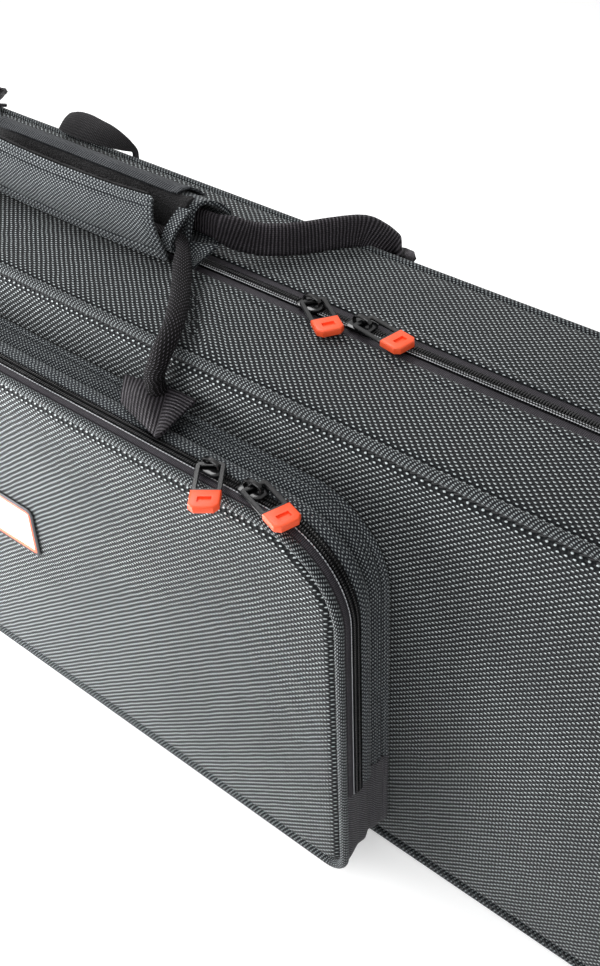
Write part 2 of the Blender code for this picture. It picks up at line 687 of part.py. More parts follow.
def grip_flap():
    """The outer flap of the grip, and the hook tape sewn along the inside of its free edge."""
    half = FLAP_LENGTH / 2
    low = CASE_HEIGHT + GRIP_LIFT
    flap = block("grip_flap", (-half, FLAP_BACK - FLAP_THICK, low), (half, FLAP_BACK, low + FLAP_HEIGHT),
                 GREY_WEAVE, FLAP_CORNER)
    tape_high = low + FLAP_HEIGHT - PANEL_SINK
    tape = block("grip_hook_tape", (-half + FLAP_CORNER, FLAP_BACK + GAP, tape_high - HOOK_STRIP_WIDTH),
                 (half - FLAP_CORNER, FLAP_BACK + GAP + HOOK_STRIP_THICK, tape_high), HOOK_TAPE)
    return [flap, tape], Vector((0, FLAP_BACK - FLAP_THICK / 2, low))


def hang_loop():
    """A webbing loop: its feet are stitched to the back, and its arch leans forward and opens out wide."""
    back = BASE_BACK + GAP + LOOP_THICK / 2
    spring = CASE_HEIGHT + LOOP_CLEAR
    crest = CASE_HEIGHT + LOOP_RISE
    turns = [math.pi * i / LOOP_STEPS for i in range(LOOP_STEPS + 1)]
    stops = [(turns[0], CASE_HEIGHT - LOOP_DROP)] + [(turn, spring) for turn in turns]
    stops.append((turns[-1], CASE_HEIGHT - LOOP_DROP))
    route = []
    depths = []
    for turn, base in stops:
        rise = math.sin(turn)
        x = LOOP_X - LOOP_SPAN / 2 * math.cos(turn)
        route.append(Vector((x, back - LOOP_LEAN * rise, base + (crest - spring) * rise)))
        depths.append(LOOP_THICK + (LOOP_DEPTH - LOOP_THICK) * rise)
    sections = []
    for i, point in enumerate(route):
        ahead, behind = route[min(i + 1, len(route) - 1)], route[max(i - 1, 0)]
        along = Vector((ahead.x - behind.x, 0, ahead.z - behind.z)).normalized()
        out = Vector((0, 1, 0)).cross(along) * LOOP_WIDTH / 2
        deep = Vector((0, depths[i] / 2, 0))
        sections.append([point + out + deep, point + out - deep, point - out - deep, point - out + deep])
    return finish("rear_hang_loop", loft(sections), WEBBING)


def slider(name, x, y, top, width):
    """The zip slider: a plate over the coil, with an arch that holds the pull."""
    base = top + POCKET_SLIDER_LIFT
    plate_top = base + SLIDER_PLATE
    low = (x - SLIDER_LENGTH / 2, y - width / 2, base)
    high = (x + SLIDER_LENGTH / 2, y + width / 2, plate_top)
    body = block(name, low, high, BLACK_METAL, PULL_CORNER, along=2)
    low = (x - ARCH_LENGTH / 2, y - ARCH_WIDTH / 2, plate_top - SLIDER_PLATE / 2)
    high = (x + ARCH_LENGTH / 2, y + ARCH_WIDTH / 2, plate_top + ARCH_CLEAR + ARCH_BAR)
    arch = block(name + "_arch_cutter", low, high, BLACK_METAL)
    hole = block(name + "_hole_cutter", (x - ARCH_OPENING / 2, y - width, plate_top),
                 (x + ARCH_OPENING / 2, y + width, plate_top + ARCH_CLEAR), BLACK_METAL)
    cut(body, arch, "UNION")
    cut(body, hole)
    return body, Vector((x, y, plate_top + ARCH_CLEAR / 2))


def pull(name, axis, yaw):
    """The wire link through the slider's arch, and the rubber tip moulded on its end."""
    place = Matrix.Translation(axis) @ Matrix.Rotation(math.radians(yaw), 4, "Z")
    bar = PULL_BAR / 2
    half = PULL_WIDTH / 2
    middle = PULL_LINK_LENGTH / 2

    def link_loop(inset, height):
        points = rounded(middle + bar, -half, half, PULL_CORNER, PULL_CORNER, inset, LINK_STEPS, LINK_STEPS)
        return [place @ Vector((middle + u, v, height)) for u, v in points]

    outer = [link_loop(0, h) for h in (-bar, bar)]
    inner = [link_loop(PULL_BAR, h) for h in (bar, -bar)]
    link = finish(name + "_pull_link", loft(outer + inner, ring=True), BLACK_METAL)
    low, high = (0, -half, -TIP_THICK / 2), (TIP_LENGTH, half, TIP_THICK / 2)
    tip = block(name + "_pull_tip", low, high, ORANGE_RUBBER, TIP_CORNER, along=2)
    start = max((place.inverted() @ v.co).x for v in link.data.vertices) + GAP
    tip.data.transform(place @ Matrix.Translation((start, 0, 0)))
    return [link, tip]


def zip_slider(name, y, top, width, parent):
    body, axis = slider(name + "_slider", SLIDER_X[name], y, top, width)
    slide = pivot(name + "_slide", axis, parent)
    swing = pivot(name + "_swing", axis, slide)
    hang(body, slide)
    hang_all(swing, *pull(name, axis, PULL_YAW_DEGREES[name]))


def build():
    clear_scene()
    base = pivot("base", (0, Y_ZIP, 0))
    lid = pivot("lid_hinge", (0, Y_ZIP, 0), base)
    hang_all(base, *half_case("base", 1, BASE_BACK))
    hang_all(lid, *half_case("lid", -1, LID_FRONT))

    fixed, strap, strap_low = base_interior()
    hang_all(base, *fixed)
    hang(strap, pivot("neck_strap_hinge", (STRAP_X, Y_ZIP + BASE_RIM_SINK, strap_low), base))

    fixed, floor = lid_interior()
    hang_all(lid, *fixed)
    for name, z in (("lower", MID_Z - BOW_SPACING / 2), ("upper", MID_Z + BOW_SPACING / 2)):
        hang(bow_clip(name + "_bow_clip", floor, z), pivot(name + "_clip_turn", (CLIP_X, floor, z), lid))

    fixed, moving, pocket_zip = pocket_pieces()
    hang_all(lid, *fixed)
    hang_all(pivot("pocket_hinge", (0, POCKET_HINGE_Y, POCKET_LOW), lid), *moving)

    mouth = Vector((FRONT_ENTRY_X, FRONT_WEBBING_Y, GRIP_Z))
    front = pivot("front_handle_hinge", (0, *front_anchor_axis().yz), lid)
    hang(webbing_handle("front_handle_webbing", front_anchor_axis(), mouth, FRONT_ROUTE_SHARES), front)
    flap, flap_axis = grip_flap()
    hang_all(pivot("grip_flap_hinge", flap_axis, front), *flap)
    mouth = Vector((REAR_ENTRY_X, Y_ZIP + SLEEVE_FROM_ZIP, GRIP_Z))
    rear = pivot("rear_handle_hinge", (0, *rear_anchor_axis().yz), base)
    hang(webbing_handle("rear_handle_webbing", rear_anchor_axis(), mouth, REAR_ROUTE_SHARES), rear)
    hang(grip_sleeve(), rear)
    hang(hang_loop(), base)
    for side, sign in (("left", -1), ("right", 1)):
        hang(front_anchor("front_anchor_" + side, sign * FRONT_ANCHOR_X), lid)
        hang(rear_anchor("rear_anchor_" + side, sign * REAR_ANCHOR_X), base)

    zip_slider("main_left", Y_ZIP, COIL_TOP, SLIDER_WIDTH, base)
    zip_slider("main_right", Y_ZIP, COIL_TOP, SLIDER_WIDTH, base)
    pocket_top = POCKET_HIGH + COIL_RISE
    zip_slider("pocket_left", pocket_zip, pocket_top, POCKET_SLIDER_WIDTH, lid)
    zip_slider("pocket_right", pocket_zip, pocket_top, POCKET_SLIDER_WIDTH, lid)


build()
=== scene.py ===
import math

import bmesh
import bpy
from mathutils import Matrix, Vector


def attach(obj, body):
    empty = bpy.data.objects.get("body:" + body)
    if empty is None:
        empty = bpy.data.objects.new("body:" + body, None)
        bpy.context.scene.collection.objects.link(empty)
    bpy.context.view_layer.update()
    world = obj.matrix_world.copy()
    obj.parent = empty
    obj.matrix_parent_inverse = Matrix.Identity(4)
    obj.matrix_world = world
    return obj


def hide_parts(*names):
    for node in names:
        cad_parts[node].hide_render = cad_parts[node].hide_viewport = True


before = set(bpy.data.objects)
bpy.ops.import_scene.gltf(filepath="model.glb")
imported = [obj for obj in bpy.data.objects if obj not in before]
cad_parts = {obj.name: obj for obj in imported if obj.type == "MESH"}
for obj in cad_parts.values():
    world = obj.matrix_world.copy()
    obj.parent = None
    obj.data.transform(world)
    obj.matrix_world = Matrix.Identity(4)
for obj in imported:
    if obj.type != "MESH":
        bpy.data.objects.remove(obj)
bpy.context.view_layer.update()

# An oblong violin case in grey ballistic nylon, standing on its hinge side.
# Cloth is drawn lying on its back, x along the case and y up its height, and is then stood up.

mm = 0.001

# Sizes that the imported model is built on, in millimetres. An outline is half its length, its lowest and
# highest edge, and the radius of its upper and of its lower corners.
CASE = (412, 0, 270, 45, 12)
POCKET = (262.5, 14.5, 238, 45, 14)
LID_FACE, BASE_FACE = -48.7, 86.3
# Where the lid and the base meet: the middle of the main zip
ZIP_LINE = 18.8
# How far apart cloth is divided, and how close its divisions are beside the corded edge of a face
CLOTH_SPACING = 11
FACE_RINGS = [0, 0.8, 1.7, 2.8, 4.2, 6, 9]
# A corner of a larger radius than this is drawn in more steps
LARGE_CORNER = 20


def pick(*objects):
    """Leaves only these objects selected, and the last of them active."""
    bpy.ops.object.select_all(action="DESELECT")
    for obj in objects:
        obj.select_set(True)
    bpy.context.view_layer.objects.active = objects[-1]


def open_mesh(obj):
    pick(obj)
    bpy.ops.object.mode_set(mode="EDIT")
    bpy.ops.mesh.select_mode(type="VERT")
    bpy.ops.mesh.select_all(action="SELECT")


def close_mesh():
    bpy.ops.object.mode_set(mode="OBJECT")
    return bpy.context.object


def choose(kind, test):
    """In the open mesh, selects the corners, edges or faces that pass the test."""
    bpy.ops.mesh.select_mode(type=kind)
    bpy.ops.mesh.select_all(action="DESELECT")
    mesh = bpy.context.object.data
    bm = bmesh.from_edit_mesh(mesh)
    for part in {"VERT": bm.verts, "EDGE": bm.edges, "FACE": bm.faces}[kind]:
        if test(part):
            part.select_set(True)
    bm.select_flush_mode()
    bmesh.update_edit_mesh(mesh)


def stood_up(obj):
    """Tips the piece from its back onto its long side: its y becomes height, and its z faces the front."""
    obj.rotation_euler = (math.pi / 2, 0, 0)
    pick(obj)
    bpy.ops.object.transform_apply(location=True, rotation=True, scale=True)
    return obj


def moved(obj, step):
    obj.location = [d * mm for d in step]
    pick(obj)
    bpy.ops.object.transform_apply(location=True)
    return obj


def apply_modifier(obj, kind, **settings):
    pick(obj)
    modifier = obj.modifiers.new(kind.lower(), kind)
    for key, value in settings.items():
        setattr(modifier, key, value)
    bpy.ops.object.modifier_apply(modifier=modifier.name)
    return obj


def rumple(obj, height, size):
    """Gives cloth its slight unevenness, with hollows and rises about so far apart."""
    grain = bpy.data.textures.new(obj.name + "_rumple", "CLOUDS")
    grain.noise_scale = size * mm
    grain.noise_depth = 1
    return apply_modifier(obj, "DISPLACE", texture=grain, texture_coords="LOCAL",
                          strength=height * mm, mid_level=0.5)


def keep(obj, body, nodes, look, angle=35):
    """Finishes a piece: its normals, its shading, its material and the body that it rides on."""
    open_mesh(obj)
    bpy.ops.mesh.normals_make_consistent(inside=False)
    close_mesh()
    bpy.ops.object.shade_smooth_by_angle(angle=math.radians(angle))
    obj.data.materials.clear()
    obj.data.materials.append(look)
    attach(obj, body)
    if nodes:
        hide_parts(*nodes)
    return obj


# Outlines and lines that cloth is carried along

def outline(half, low, high, top, bottom, spacing=CLOTH_SPACING):
    """A closed wire with two large corners above and two small ones below."""
    middle = (low + high) / 2 * mm
    bpy.ops.mesh.primitive_plane_add(size=1, location=(0, middle, 0))
    wire = bpy.context.object
    wire.scale = (2 * half * mm, (high - low) * mm, 1)
    bpy.ops.object.transform_apply(location=True, scale=True)
    open_mesh(wire)
    choose("VERT", lambda v: v.co.y > middle)
    bpy.ops.mesh.bevel(offset=top * mm, segments=14 if top > LARGE_CORNER else 6, affect="VERTICES")
    choose("VERT", lambda v: v.co.y < (low + 0.2) * mm)
    bpy.ops.mesh.bevel(offset=bottom * mm, segments=6, affect="VERTICES")
    bpy.ops.mesh.select_all(action="SELECT")
    bpy.ops.mesh.delete(type="ONLY_FACE")
    for axis in (0, 1):
        choose("EDGE", lambda e: abs(e.verts[1].co[axis] - e.verts[0].co[axis]) > 2 * spacing * mm
               and abs(e.verts[1].co[1 - axis] - e.verts[0].co[1 - axis]) < 0.1 * mm)
        chosen = [e.calc_length() for e in bmesh.from_edit_mesh(wire.data).edges if e.select]
        if chosen:
            bpy.ops.mesh.subdivide(number_cuts=int(max(chosen) / mm / spacing))
    return close_mesh()


def line_of(wire):
    """Turns the wire into a curve, and notes whether it runs anticlockwise (1) or clockwise (-1).

    A closed flat curve always carries its section clockwise, so an even outline is turned round first.
    """
    pick(wire)
    bpy.ops.object.convert(target="CURVE")
    curve = bpy.context.object
    curve.data.dimensions = "2D"
    spline = curve.data.splines[0]
    points = [p.co for p in spline.points]
    around = sum(a.x * b.y - b.x * a.y for a, b in zip(points, points[1:] + points[:1]))
    if spline.use_cyclic_u and around > 0:
        for point in spline.points:
            point.co.x = -point.co.x
        around = -around
    curve["turn"] = 1 if around >= 0 else -1
    return curve


def part_of(sizes, height, upper):
    """The outline's stretch above or below a height, as a line with two ends."""
    wire = outline(*sizes)
    open_mesh(wire)
    bpy.ops.mesh.bisect(plane_co=(0, height * mm, 0), plane_no=(0, 1, 0),
                        clear_inner=upper, clear_outer=not upper)
    close_mesh()
    return line_of(wire)


def drawn(points, closed=False):
    """A wire through the points, drawn by extruding one corner from each to the next."""
    bpy.ops.mesh.primitive_plane_add(size=mm, location=(0, 0, 0))
    wire = bpy.context.object
    open_mesh(wire)
    bpy.ops.mesh.merge(type="CENTER")
    bpy.ops.transform.translate(value=points[0])
    for last, point in zip(points, points[1:]):
        step = [b - a for a, b in zip(last, point)]
        bpy.ops.mesh.extrude_region_move(TRANSFORM_OT_translate={"value": step})
    if closed:
        choose("VERT", lambda v: len(v.link_edges) == 1)
        bpy.ops.mesh.edge_face_add()
    return close_mesh()


def unrolled(obj, stations, girths, closed_path, closed_section):
    """Lays the cloth's UVs out in metres: along the line, and round the section."""
    count = len(girths) - 1 if closed_section else len(girths)
    rings = len(stations) - 1 if closed_path else len(stations)
    layer = obj.data.uv_layers.active or obj.data.uv_layers.new(name="UVMap")
    layer.name = "cloth"
    for face in obj.data.polygons:
        along, around = [], []
        for corner in face.loop_indices:
            index = obj.data.loops[corner].vertex_index
            along.append(stations[min(index // count, rings - 1)])
            around.append(girths[index % count])
        if closed_path and max(along) - min(along) > stations[-1] / 2:
            along = [u + stations[-1] if u < stations[-1] / 2 else u for u in along]
        if closed_section and max(around) - min(around) > girths[-1] / 2:
            around = [v + girths[-1] if v < girths[-1] / 2 else v for v in around]
        for corner, u, v in zip(face.loop_indices, along, around):
            layer.data[corner].uv = (u, v)


def capped(obj):
    """Closes the two ends of a carried section, and lays their cloth flat."""
    sides = len(obj.data.polygons)
    open_mesh(obj)
    bpy.ops.mesh.fill_holes(sides=0)
    close_mesh()
    layer = obj.data.uv_layers["cloth"]
    for face in list(obj.data.polygons)[sides:]:
        for corner in face.loop_indices:
            place = obj.data.vertices[obj.data.loops[corner].vertex_index].co
            layer.data[corner].uv = (place.y, place.z)


def lengths(points, closed):
    """The distance run at each point, and once more at the first if the line closes."""
    run = [0.0]
    for a, b in zip(points, points[1:] + (points[:1] if closed else [])):
        run.append(run[-1] + (Vector(b) - Vector(a)).length)
    return run


def carried(name, line, section, closed=True, standing=True):
    """Carries a cross-section along a line. On an outline it is drawn as (inset, y) in millimetres."""
    turn = line.get("turn", 1)
    flat = [(-inset * turn * mm, -y * mm, 0) for inset, y in section]
    profile = drawn(flat, closed)
    pick(profile)
    bpy.ops.object.convert(target="CURVE")
    profile = bpy.context.object
    profile.data.dimensions = "2D"
    rail = line.copy()
    rail.data = line.data.copy()
    bpy.context.scene.collection.objects.link(rail)
    spline = rail.data.splines[0]
    cyclic = spline.use_cyclic_u
    points = [p.co.xyz for p in spline.points]
    ring = [p.co.xyz for p in profile.data.splines[0].points]
    rail.data.bevel_mode = "OBJECT"
    rail.data.bevel_object = profile
    pick(rail)
    bpy.ops.object.convert(target="MESH")
    piece = bpy.context.object
    piece.name = piece.data.name = name
    bpy.data.objects.remove(profile)
    stations = lengths(points, cyclic)
    if cyclic:
        lowest = min(range(len(points)), key=lambda i: (round(points[i].y / mm), abs(points[i].x)))
        whole = stations[-1]
        stations = [(s - stations[lowest]) % whole for s in stations[:-1]] + [whole]
    unrolled(piece, stations, lengths(ring, closed), cyclic, closed)
    if closed and not cyclic:
        capped(piece)
    return stood_up(piece) if standing else piece


def strung(name, bead, line, pitch, inset, y):
    """Copies a small piece along a line, at an even pitch in millimetres."""
    points = [p.co.xyz for p in line.data.splines[0].points]
    whole = lengths(points, line.data.splines[0].use_cyclic_u)[-1] / mm
    moved(bead, (0, inset * line["turn"], -y))
    bead.name = bead.data.name = name
    count = int(whole / pitch)
    apply_modifier(bead, "ARRAY", count=count, use_relative_offset=False, use_constant_offset=True,
                   constant_offset_displace=(pitch * mm, 0, 0))
    apply_modifier(bead, "CURVE", object=line, deform_axis="POS_X")
    return stood_up(bead)


def across_zip(y):
    """The same place on the base's side of the main zip."""
    return 2 * ZIP_LINE - y


def mirrored(section):
    return [(inset, across_zip(y)) for inset, y in section]


def cord_section(inset, y, wide, tall, sides=14):
    """The section of a cord, round or slightly flattened, about its middle."""
    turns = [2 * math.pi * i / sides for i in range(sides)]
    return [(inset + wide * math.cos(turn), y + tall * math.sin(turn)) for turn in turns]


def inside_edge(sizes):
    """The outline of the face that lies inside an outline's corded edge."""
    half, low, high, top, bottom = sizes
    edge = 4.9
    return half - edge, low + edge, high - edge, top - edge, bottom - edge


def lines(low, high, rings, spacing):
    """Places of grid lines across a panel: close rings at both edges, and even steps between them."""
    inner = (high - low) - 2 * rings[-1]
    steps = max(int(inner / spacing), 2)
    middle = [low + rings[-1] + inner * i / steps for i in range(1, steps)]
    return [low + r for r in rings] + middle + [high - r for r in reversed(rings)]


def panel(name, sizes, rings, spacing, rise, thick, standing=True):
    """A cloth face: a grid with rounded corners and close rings at its edge, raised by rise(inset, x, y)."""
    half, low, high, top, bottom = sizes
    columns = lines(-half, half, rings, spacing)
    rows = lines(low, high, rings, spacing)
    bpy.ops.mesh.primitive_grid_add(x_subdivisions=len(columns) - 1, y_subdivisions=len(rows) - 1, size=1)
    face = bpy.context.object
    face.name = face.data.name = name
    layer = face.data.uv_layers.active or face.data.uv_layers.new(name="UVMap")
    layer.name = "cloth"
    for v in face.data.vertices:
        x = columns[round((v.co.x + 0.5) * (len(columns) - 1))]
        y = rows[round((v.co.y + 0.5) * (len(rows) - 1))]
        upper = y > (low + high) / 2
        radius = top if upper else bottom
        out = abs(x) - (half - radius)
        up = y - (high - radius) if upper else (low + radius) - y
        inset = min(half - abs(x), high - y, y - low)
        if out > 0 and up > 0:
            far = max(out, up)
            turn = math.pi / 4 * (up / out if out >= up else 2 - out / up)
            x = math.copysign(half - radius + far * math.cos(turn), x)
            climb = far * math.sin(turn)
            y = high - radius + climb if upper else low + radius - climb
        v.co = (x * mm, y * mm, rise(inset, x, y) * mm)
    for corner in face.data.loops:
        x, y, z = face.data.vertices[corner.vertex_index].co
        layer.data[corner.index].uv = (x, y)
    apply_modifier(face, "SOLIDIFY", thickness=thick * mm, offset=-1)
    return stood_up(face) if standing else face


def ease(t):
    """Runs smoothly from 0 to 1 as t does."""
    t = min(max(t, 0), 1)
    return t * t * (3 - 2 * t)


# Materials

def srgb(code):
    """The linear colour of an sRGB hex value."""
    parts = [int(code[i:i + 2], 16) / 255 for i in (1, 3, 5)]
    return [p / 12.92 if p <= 0.04045 else ((p + 0.055) / 1.055) ** 2.4 for p in parts] + [1.0]


def add(tree, kind, links=None, **settings):
    """Adds a node with its settings, and joins or sets its inputs."""
    made = tree.nodes.new(kind)
    for key, value in settings.items():
        setattr(made, key, value)
    for key, value in (links or {}).items():
        if isinstance(value, bpy.types.NodeSocket):
            tree.links.new(value, made.inputs[key])
        else:
            made.inputs[key].default_value = value
    return made


MATH, VECTORS = "ShaderNodeMath", "ShaderNodeVectorMath"
RANGE, NOISE = "ShaderNodeMapRange", "ShaderNodeTexNoise"
# A surface's usual mirror gloss, and what is left of it in the hollows between yarns
FULL_MIRROR, YARN_HOLLOW = 0.5, 0.12


def new_look(name):
    look = bpy.data.materials.new(name)
    look.use_nodes = True
    return look, look.node_tree, look.node_tree.nodes["Principled BSDF"]


def dress(tree, shader, share, ground, thread, height, depth, dull, glossy, hollow=FULL_MIRROR):
    """Colours the surface from ground to thread by the share, and raises it, duller in its hollows."""
    colour = add(tree, "ShaderNodeMix", {0: share, 6: srgb(ground), 7: srgb(thread)}, data_type="RGBA")
    tree.links.new(colour.outputs[2], shader.inputs["Base Color"])
    gloss = add(tree, RANGE, {0: share, 3: dull, 4: glossy})
    tree.links.new(gloss.outputs[0], shader.inputs["Roughness"])
    if hollow < FULL_MIRROR:
        mirror = add(tree, RANGE, {0: share, 3: hollow, 4: FULL_MIRROR})
        tree.links.new(mirror.outputs[0], shader.inputs["Specular IOR Level"])
    bump = add(tree, "ShaderNodeBump", {"Height": height, "Distance": depth * mm, "Strength": 0.8})
    tree.links.new(bump.outputs[0], shader.inputs["Normal"])


def worn_yarn(tree, shader, weave, colours, depth, gloss, fibre, pale, drift):
    """Dresses the cloth in its weave, roughed up with loose fibres and drifting in tone where it is handled.

    The fibres have a scale and a height, and the drift has a scale, a detail and its darkest tone.
    """
    place = add(tree, "ShaderNodeTexCoord").outputs["Object"]
    fine, rough = fibre
    fibres = add(tree, NOISE, {"Vector": place, "Scale": fine, "Detail": 2.0})
    fuzz = add(tree, RANGE, {0: fibres.outputs["Fac"], 1: 0.3, 2: 0.7, 3: -rough, 4: rough})
    lifted = add(tree, MATH, {0: weave, 1: fuzz.outputs[0]}, operation="ADD").outputs[0]
    bright = add(tree, RANGE, {0: lifted, 1: pale[0], 2: pale[1]})
    broad, detail, darkest = drift
    shades = add(tree, NOISE, {"Vector": place, "Scale": broad, "Detail": detail})
    worn = add(tree, RANGE, {0: shades.outputs["Fac"], 1: 0.35, 2: 0.65, 3: darkest, 4: 1.1})
    tone = {0: bright.outputs[0], 1: worn.outputs[0]}
    share = add(tree, MATH, tone, operation="MULTIPLY", use_clamp=True).outputs[0]
    dress(tree, shader, share, *colours, lifted, depth, *gloss, YARN_HOLLOW)
    shader.inputs["IOR"].default_value = 1.53


def waves(tree, run, pitch):
    """Even waves along a measure of the cloth, one to each pitch in millimetres."""
    phase = add(tree, MATH, {0: run, 1: 2 * math.pi / (pitch * mm)}, operation="MULTIPLY")
    return add(tree, MATH, {0: phase.outputs[0]}, operation="COSINE").outputs[0]


def woven_look(name, ground, thread, along, across, depth, shine,
               slant=0.0, low=0.2, high=0.8, thin=0.9, sheen=0.15):
    """Nylon cloth in a basket weave: pale flat floats of yarn, set like bricks, stand over a dark ground.

    The weave repeats at along and across, and rises by depth, in millimetres. Its rows wander by a little
    under a millimetre. A float pales from low to high, and thin narrows it.
    """
    look, tree, shader = new_look(name)
    cloth = add(tree, "ShaderNodeUVMap", uv_map="cloth").outputs[0]
    place = add(tree, "ShaderNodeTexCoord").outputs["Object"]
    noise = add(tree, NOISE, {"Vector": place, "Scale": 90.0, "Detail": 1.0})
    even = add(tree, VECTORS, {0: noise.outputs["Color"], 1: (0.5, 0.5, 0.5)}, operation="SUBTRACT")
    wander = add(tree, VECTORS, {0: even.outputs[0], 1: (0.9 * mm, 0.9 * mm, 0.0)}, operation="MULTIPLY")
    yarn = add(tree, VECTORS, {0: cloth, 1: wander.outputs[0]}, operation="ADD")
    parts = add(tree, "ShaderNodeSeparateXYZ", {0: yarn.outputs[0]})
    skew = add(tree, MATH, {0: parts.outputs[1], 1: slant, 2: parts.outputs[0]}, operation="MULTIPLY_ADD")
    warp = waves(tree, skew.outputs[0], along)
    weft = waves(tree, parts.outputs[1], across)
    floats = add(tree, MATH, {0: warp, 1: weft}, operation="MULTIPLY")
    crown = add(tree, MATH, {0: weft, 1: weft, 2: -1.0}, operation="MULTIPLY_ADD")
    narrow = add(tree, MATH, {0: crown.outputs[0], 1: thin, 2: floats.outputs[0]}, operation="MULTIPLY_ADD")
    worn_yarn(tree, shader, narrow.outputs[0], (ground, thread), depth, (shine + 0.2, shine),
              fibre=(1600.0, 0.22), pale=(low, high), drift=(14.0, 3.0, 0.86))
    shader.inputs["Sheen Weight"].default_value = sheen
    shader.inputs["Sheen Roughness"].default_value = 0.3
    return look


def ribbed_look(name, ground, thread, pitch, cross, depth, shine):
    """Woven tape: thick ribs at a pitch along it, crossed by a finer warp, with a dull nylon gloss."""
    look, tree, shader = new_look(name)
    cloth = add(tree, "ShaderNodeUVMap", uv_map="cloth").outputs[0]
    parts = add(tree, "ShaderNodeSeparateXYZ", {0: cloth})
    rib = waves(tree, parts.outputs[0], pitch)
    warp = waves(tree, parts.outputs[1], cross)
    woven = add(tree, MATH, {0: warp, 1: 0.35, 2: rib}, operation="MULTIPLY_ADD")
    worn_yarn(tree, shader, woven.outputs[0], (ground, thread), depth, (shine + 0.15, shine),
              fibre=(1300.0, 0.45), pale=(-0.5, 1.6), drift=(40.0, 2.0, 0.75))
    return look


def moulded_look(name, colour, second, grain, depth, shine, coat=0.0, mirror=FULL_MIRROR):
    """Moulded, drawn or cast: a faint texture from the tool, with slight drifts of tone and gloss."""
    look, tree, shader = new_look(name)
    place = add(tree, "ShaderNodeTexCoord").outputs["Object"]
    fine = add(tree, NOISE, {"Vector": place, "Scale": 1000.0 / grain, "Detail": 3.0})
    broad = add(tree, NOISE, {"Vector": place, "Scale": 60.0, "Detail": 2.0})
    both = add(tree, MATH, {0: fine.outputs["Fac"], 1: broad.outputs["Fac"]}, operation="ADD")
    share = add(tree, RANGE, {0: both.outputs[0], 1: 0.7, 2: 1.3}).outputs[0]
    dress(tree, shader, share, colour, second, fine.outputs["Fac"], depth, shine + 0.05, shine - 0.04, mirror)
    shader.inputs["Coat Weight"].default_value = coat
    return look


def napped_look(name, colour, second, pile, depth, sheen):
    """Pile cloth: short upright fibres that scatter light, so that it looks soft and dull."""
    look, tree, shader = new_look(name)
    place = add(tree, "ShaderNodeTexCoord").outputs["Object"]
    nap = add(tree, "ShaderNodeTexVoronoi", {"Vector": place, "Scale": 1000.0 / pile})
    drift = add(tree, NOISE, {"Vector": place, "Scale": 30.0, "Detail": 3.0})
    both = add(tree, MATH, {0: nap.outputs["Distance"], 1: drift.outputs["Fac"]}, operation="ADD")
    share = add(tree, RANGE, {0: both.outputs[0], 1: 0.35, 2: 1.35}).outputs[0]
    dress(tree, shader, share, colour, second, nap.outputs["Distance"], depth, 0.97, 0.9, 0.1)
    shader.inputs["Sheen Weight"].default_value = sheen
    shader.inputs["Sheen Roughness"].default_value = 0.5
    return look


# Woven ballistic nylon: stiff dark cloth under rows of pale glints, one to each thick float of yarn.
# The real weave repeats every 3.7 mm along the case and 3.0 mm across it.
BALLISTIC_NYLON = woven_look("ballistic_nylon_basket_weave", "#0e1114", "#d6dfe1", 3.7, 3.0, 0.5, 0.4)
# A lighter cloth of the same kind, at the grip and round the pocket: smaller floats, closer and softer
FINE_NYLON = woven_look("ballistic_nylon_fine_weave", "#24272b", "#a6adaf", 2.5, 2.1, 0.35, 0.45,
                        low=0.0, thin=0.4)
# The same cloth cut on the slant and pulled over a cord: its floats crowd together, paler and twisted
PIPING_NYLON = woven_look("ballistic_nylon_over_cord", "#16181b", "#a4acae", 2.2, 1.9, 0.35, 0.5,
                          slant=0.6, low=0.0, thin=0.4)
# Plain-woven nylon: a soft grey with only a fine grain, drawn coarser than its real 0.6 mm so that it shows
PLAIN_NYLON = woven_look("plain_woven_nylon", "#2f2e32", "#858388", 1.8, 1.5, 0.3, 0.6, thin=0.2)
# Braided nylon tube: nearly black, with small grey dots in rings
BRAIDED_NYLON = woven_look("braided_nylon_tube", "#060506", "#5f5b62", 2.7, 1.9, 0.4, 0.6,
                           low=0.3, high=0.95, sheen=0.0)
# Woven polyester tape: flat, matt and slightly purple beside the grey cloth
SMOOTH_TAPE = ribbed_look("woven_polyester_binding", "#232125", "#3f3b41", 0.9, 0.9, 0.06, 0.6)
# A heavier polyester tape, for the loop at the back: almost black, its ribs hardly seen
LOOP_TAPE = ribbed_look("woven_polyester_loop_tape", "#0a090b", "#1c191d", 0.9, 1.2, 0.12, 0.6)
# Woven nylon webbing: rounded ribs that catch the light, with dark lines between
WEBBING = ribbed_look("woven_nylon_webbing", "#141215", "#514c52", 1.9, 1.1, 0.4, 0.5)
# Wide flat webbing in grey: the same ribs, paler and shallower
GREY_WEBBING = ribbed_look("woven_grey_webbing", "#25272a", "#54575b", 1.9, 1.0, 0.25, 0.55)
# Drawn nylon monofilament: hard and black, so that every turn of the coil shows one small white glint
NYLON_COIL = moulded_look("drawn_nylon_coil", "#060607", "#101012", 0.3, 0.02, 0.25, mirror=0.3)
# Bonded polyester thread, pale and dark: tight and slightly waxy. The pale thread also draws the painted
# glints on the main zip's coil
PALE_THREAD_AND_GLINTS = moulded_look("bonded_thread_pale_and_painted_glints", "#9fa2a6", "#d5d7da", 0.3, 0.1, 0.5)
DARK_THREAD = moulded_look("bonded_thread_dark", "#161719", "#2b2c2f", 0.3, 0.1, 0.55)
# Die-cast zinc under black lacquer: a wet black with thin white highlights along its edges
BLACK_ZINC = moulded_look("lacquered_zinc_casting", "#050506", "#0c0c0e", 0.5, 0.02, 0.22,
                          coat=0.15, mirror=0.25)
# Moulded silicone rubber: an even, slightly soft orange-red
ORANGE_RUBBER = moulded_look("moulded_orange_rubber", "#ff5126", "#ff6437", 0.4, 0.05, 0.42, mirror=0.35)
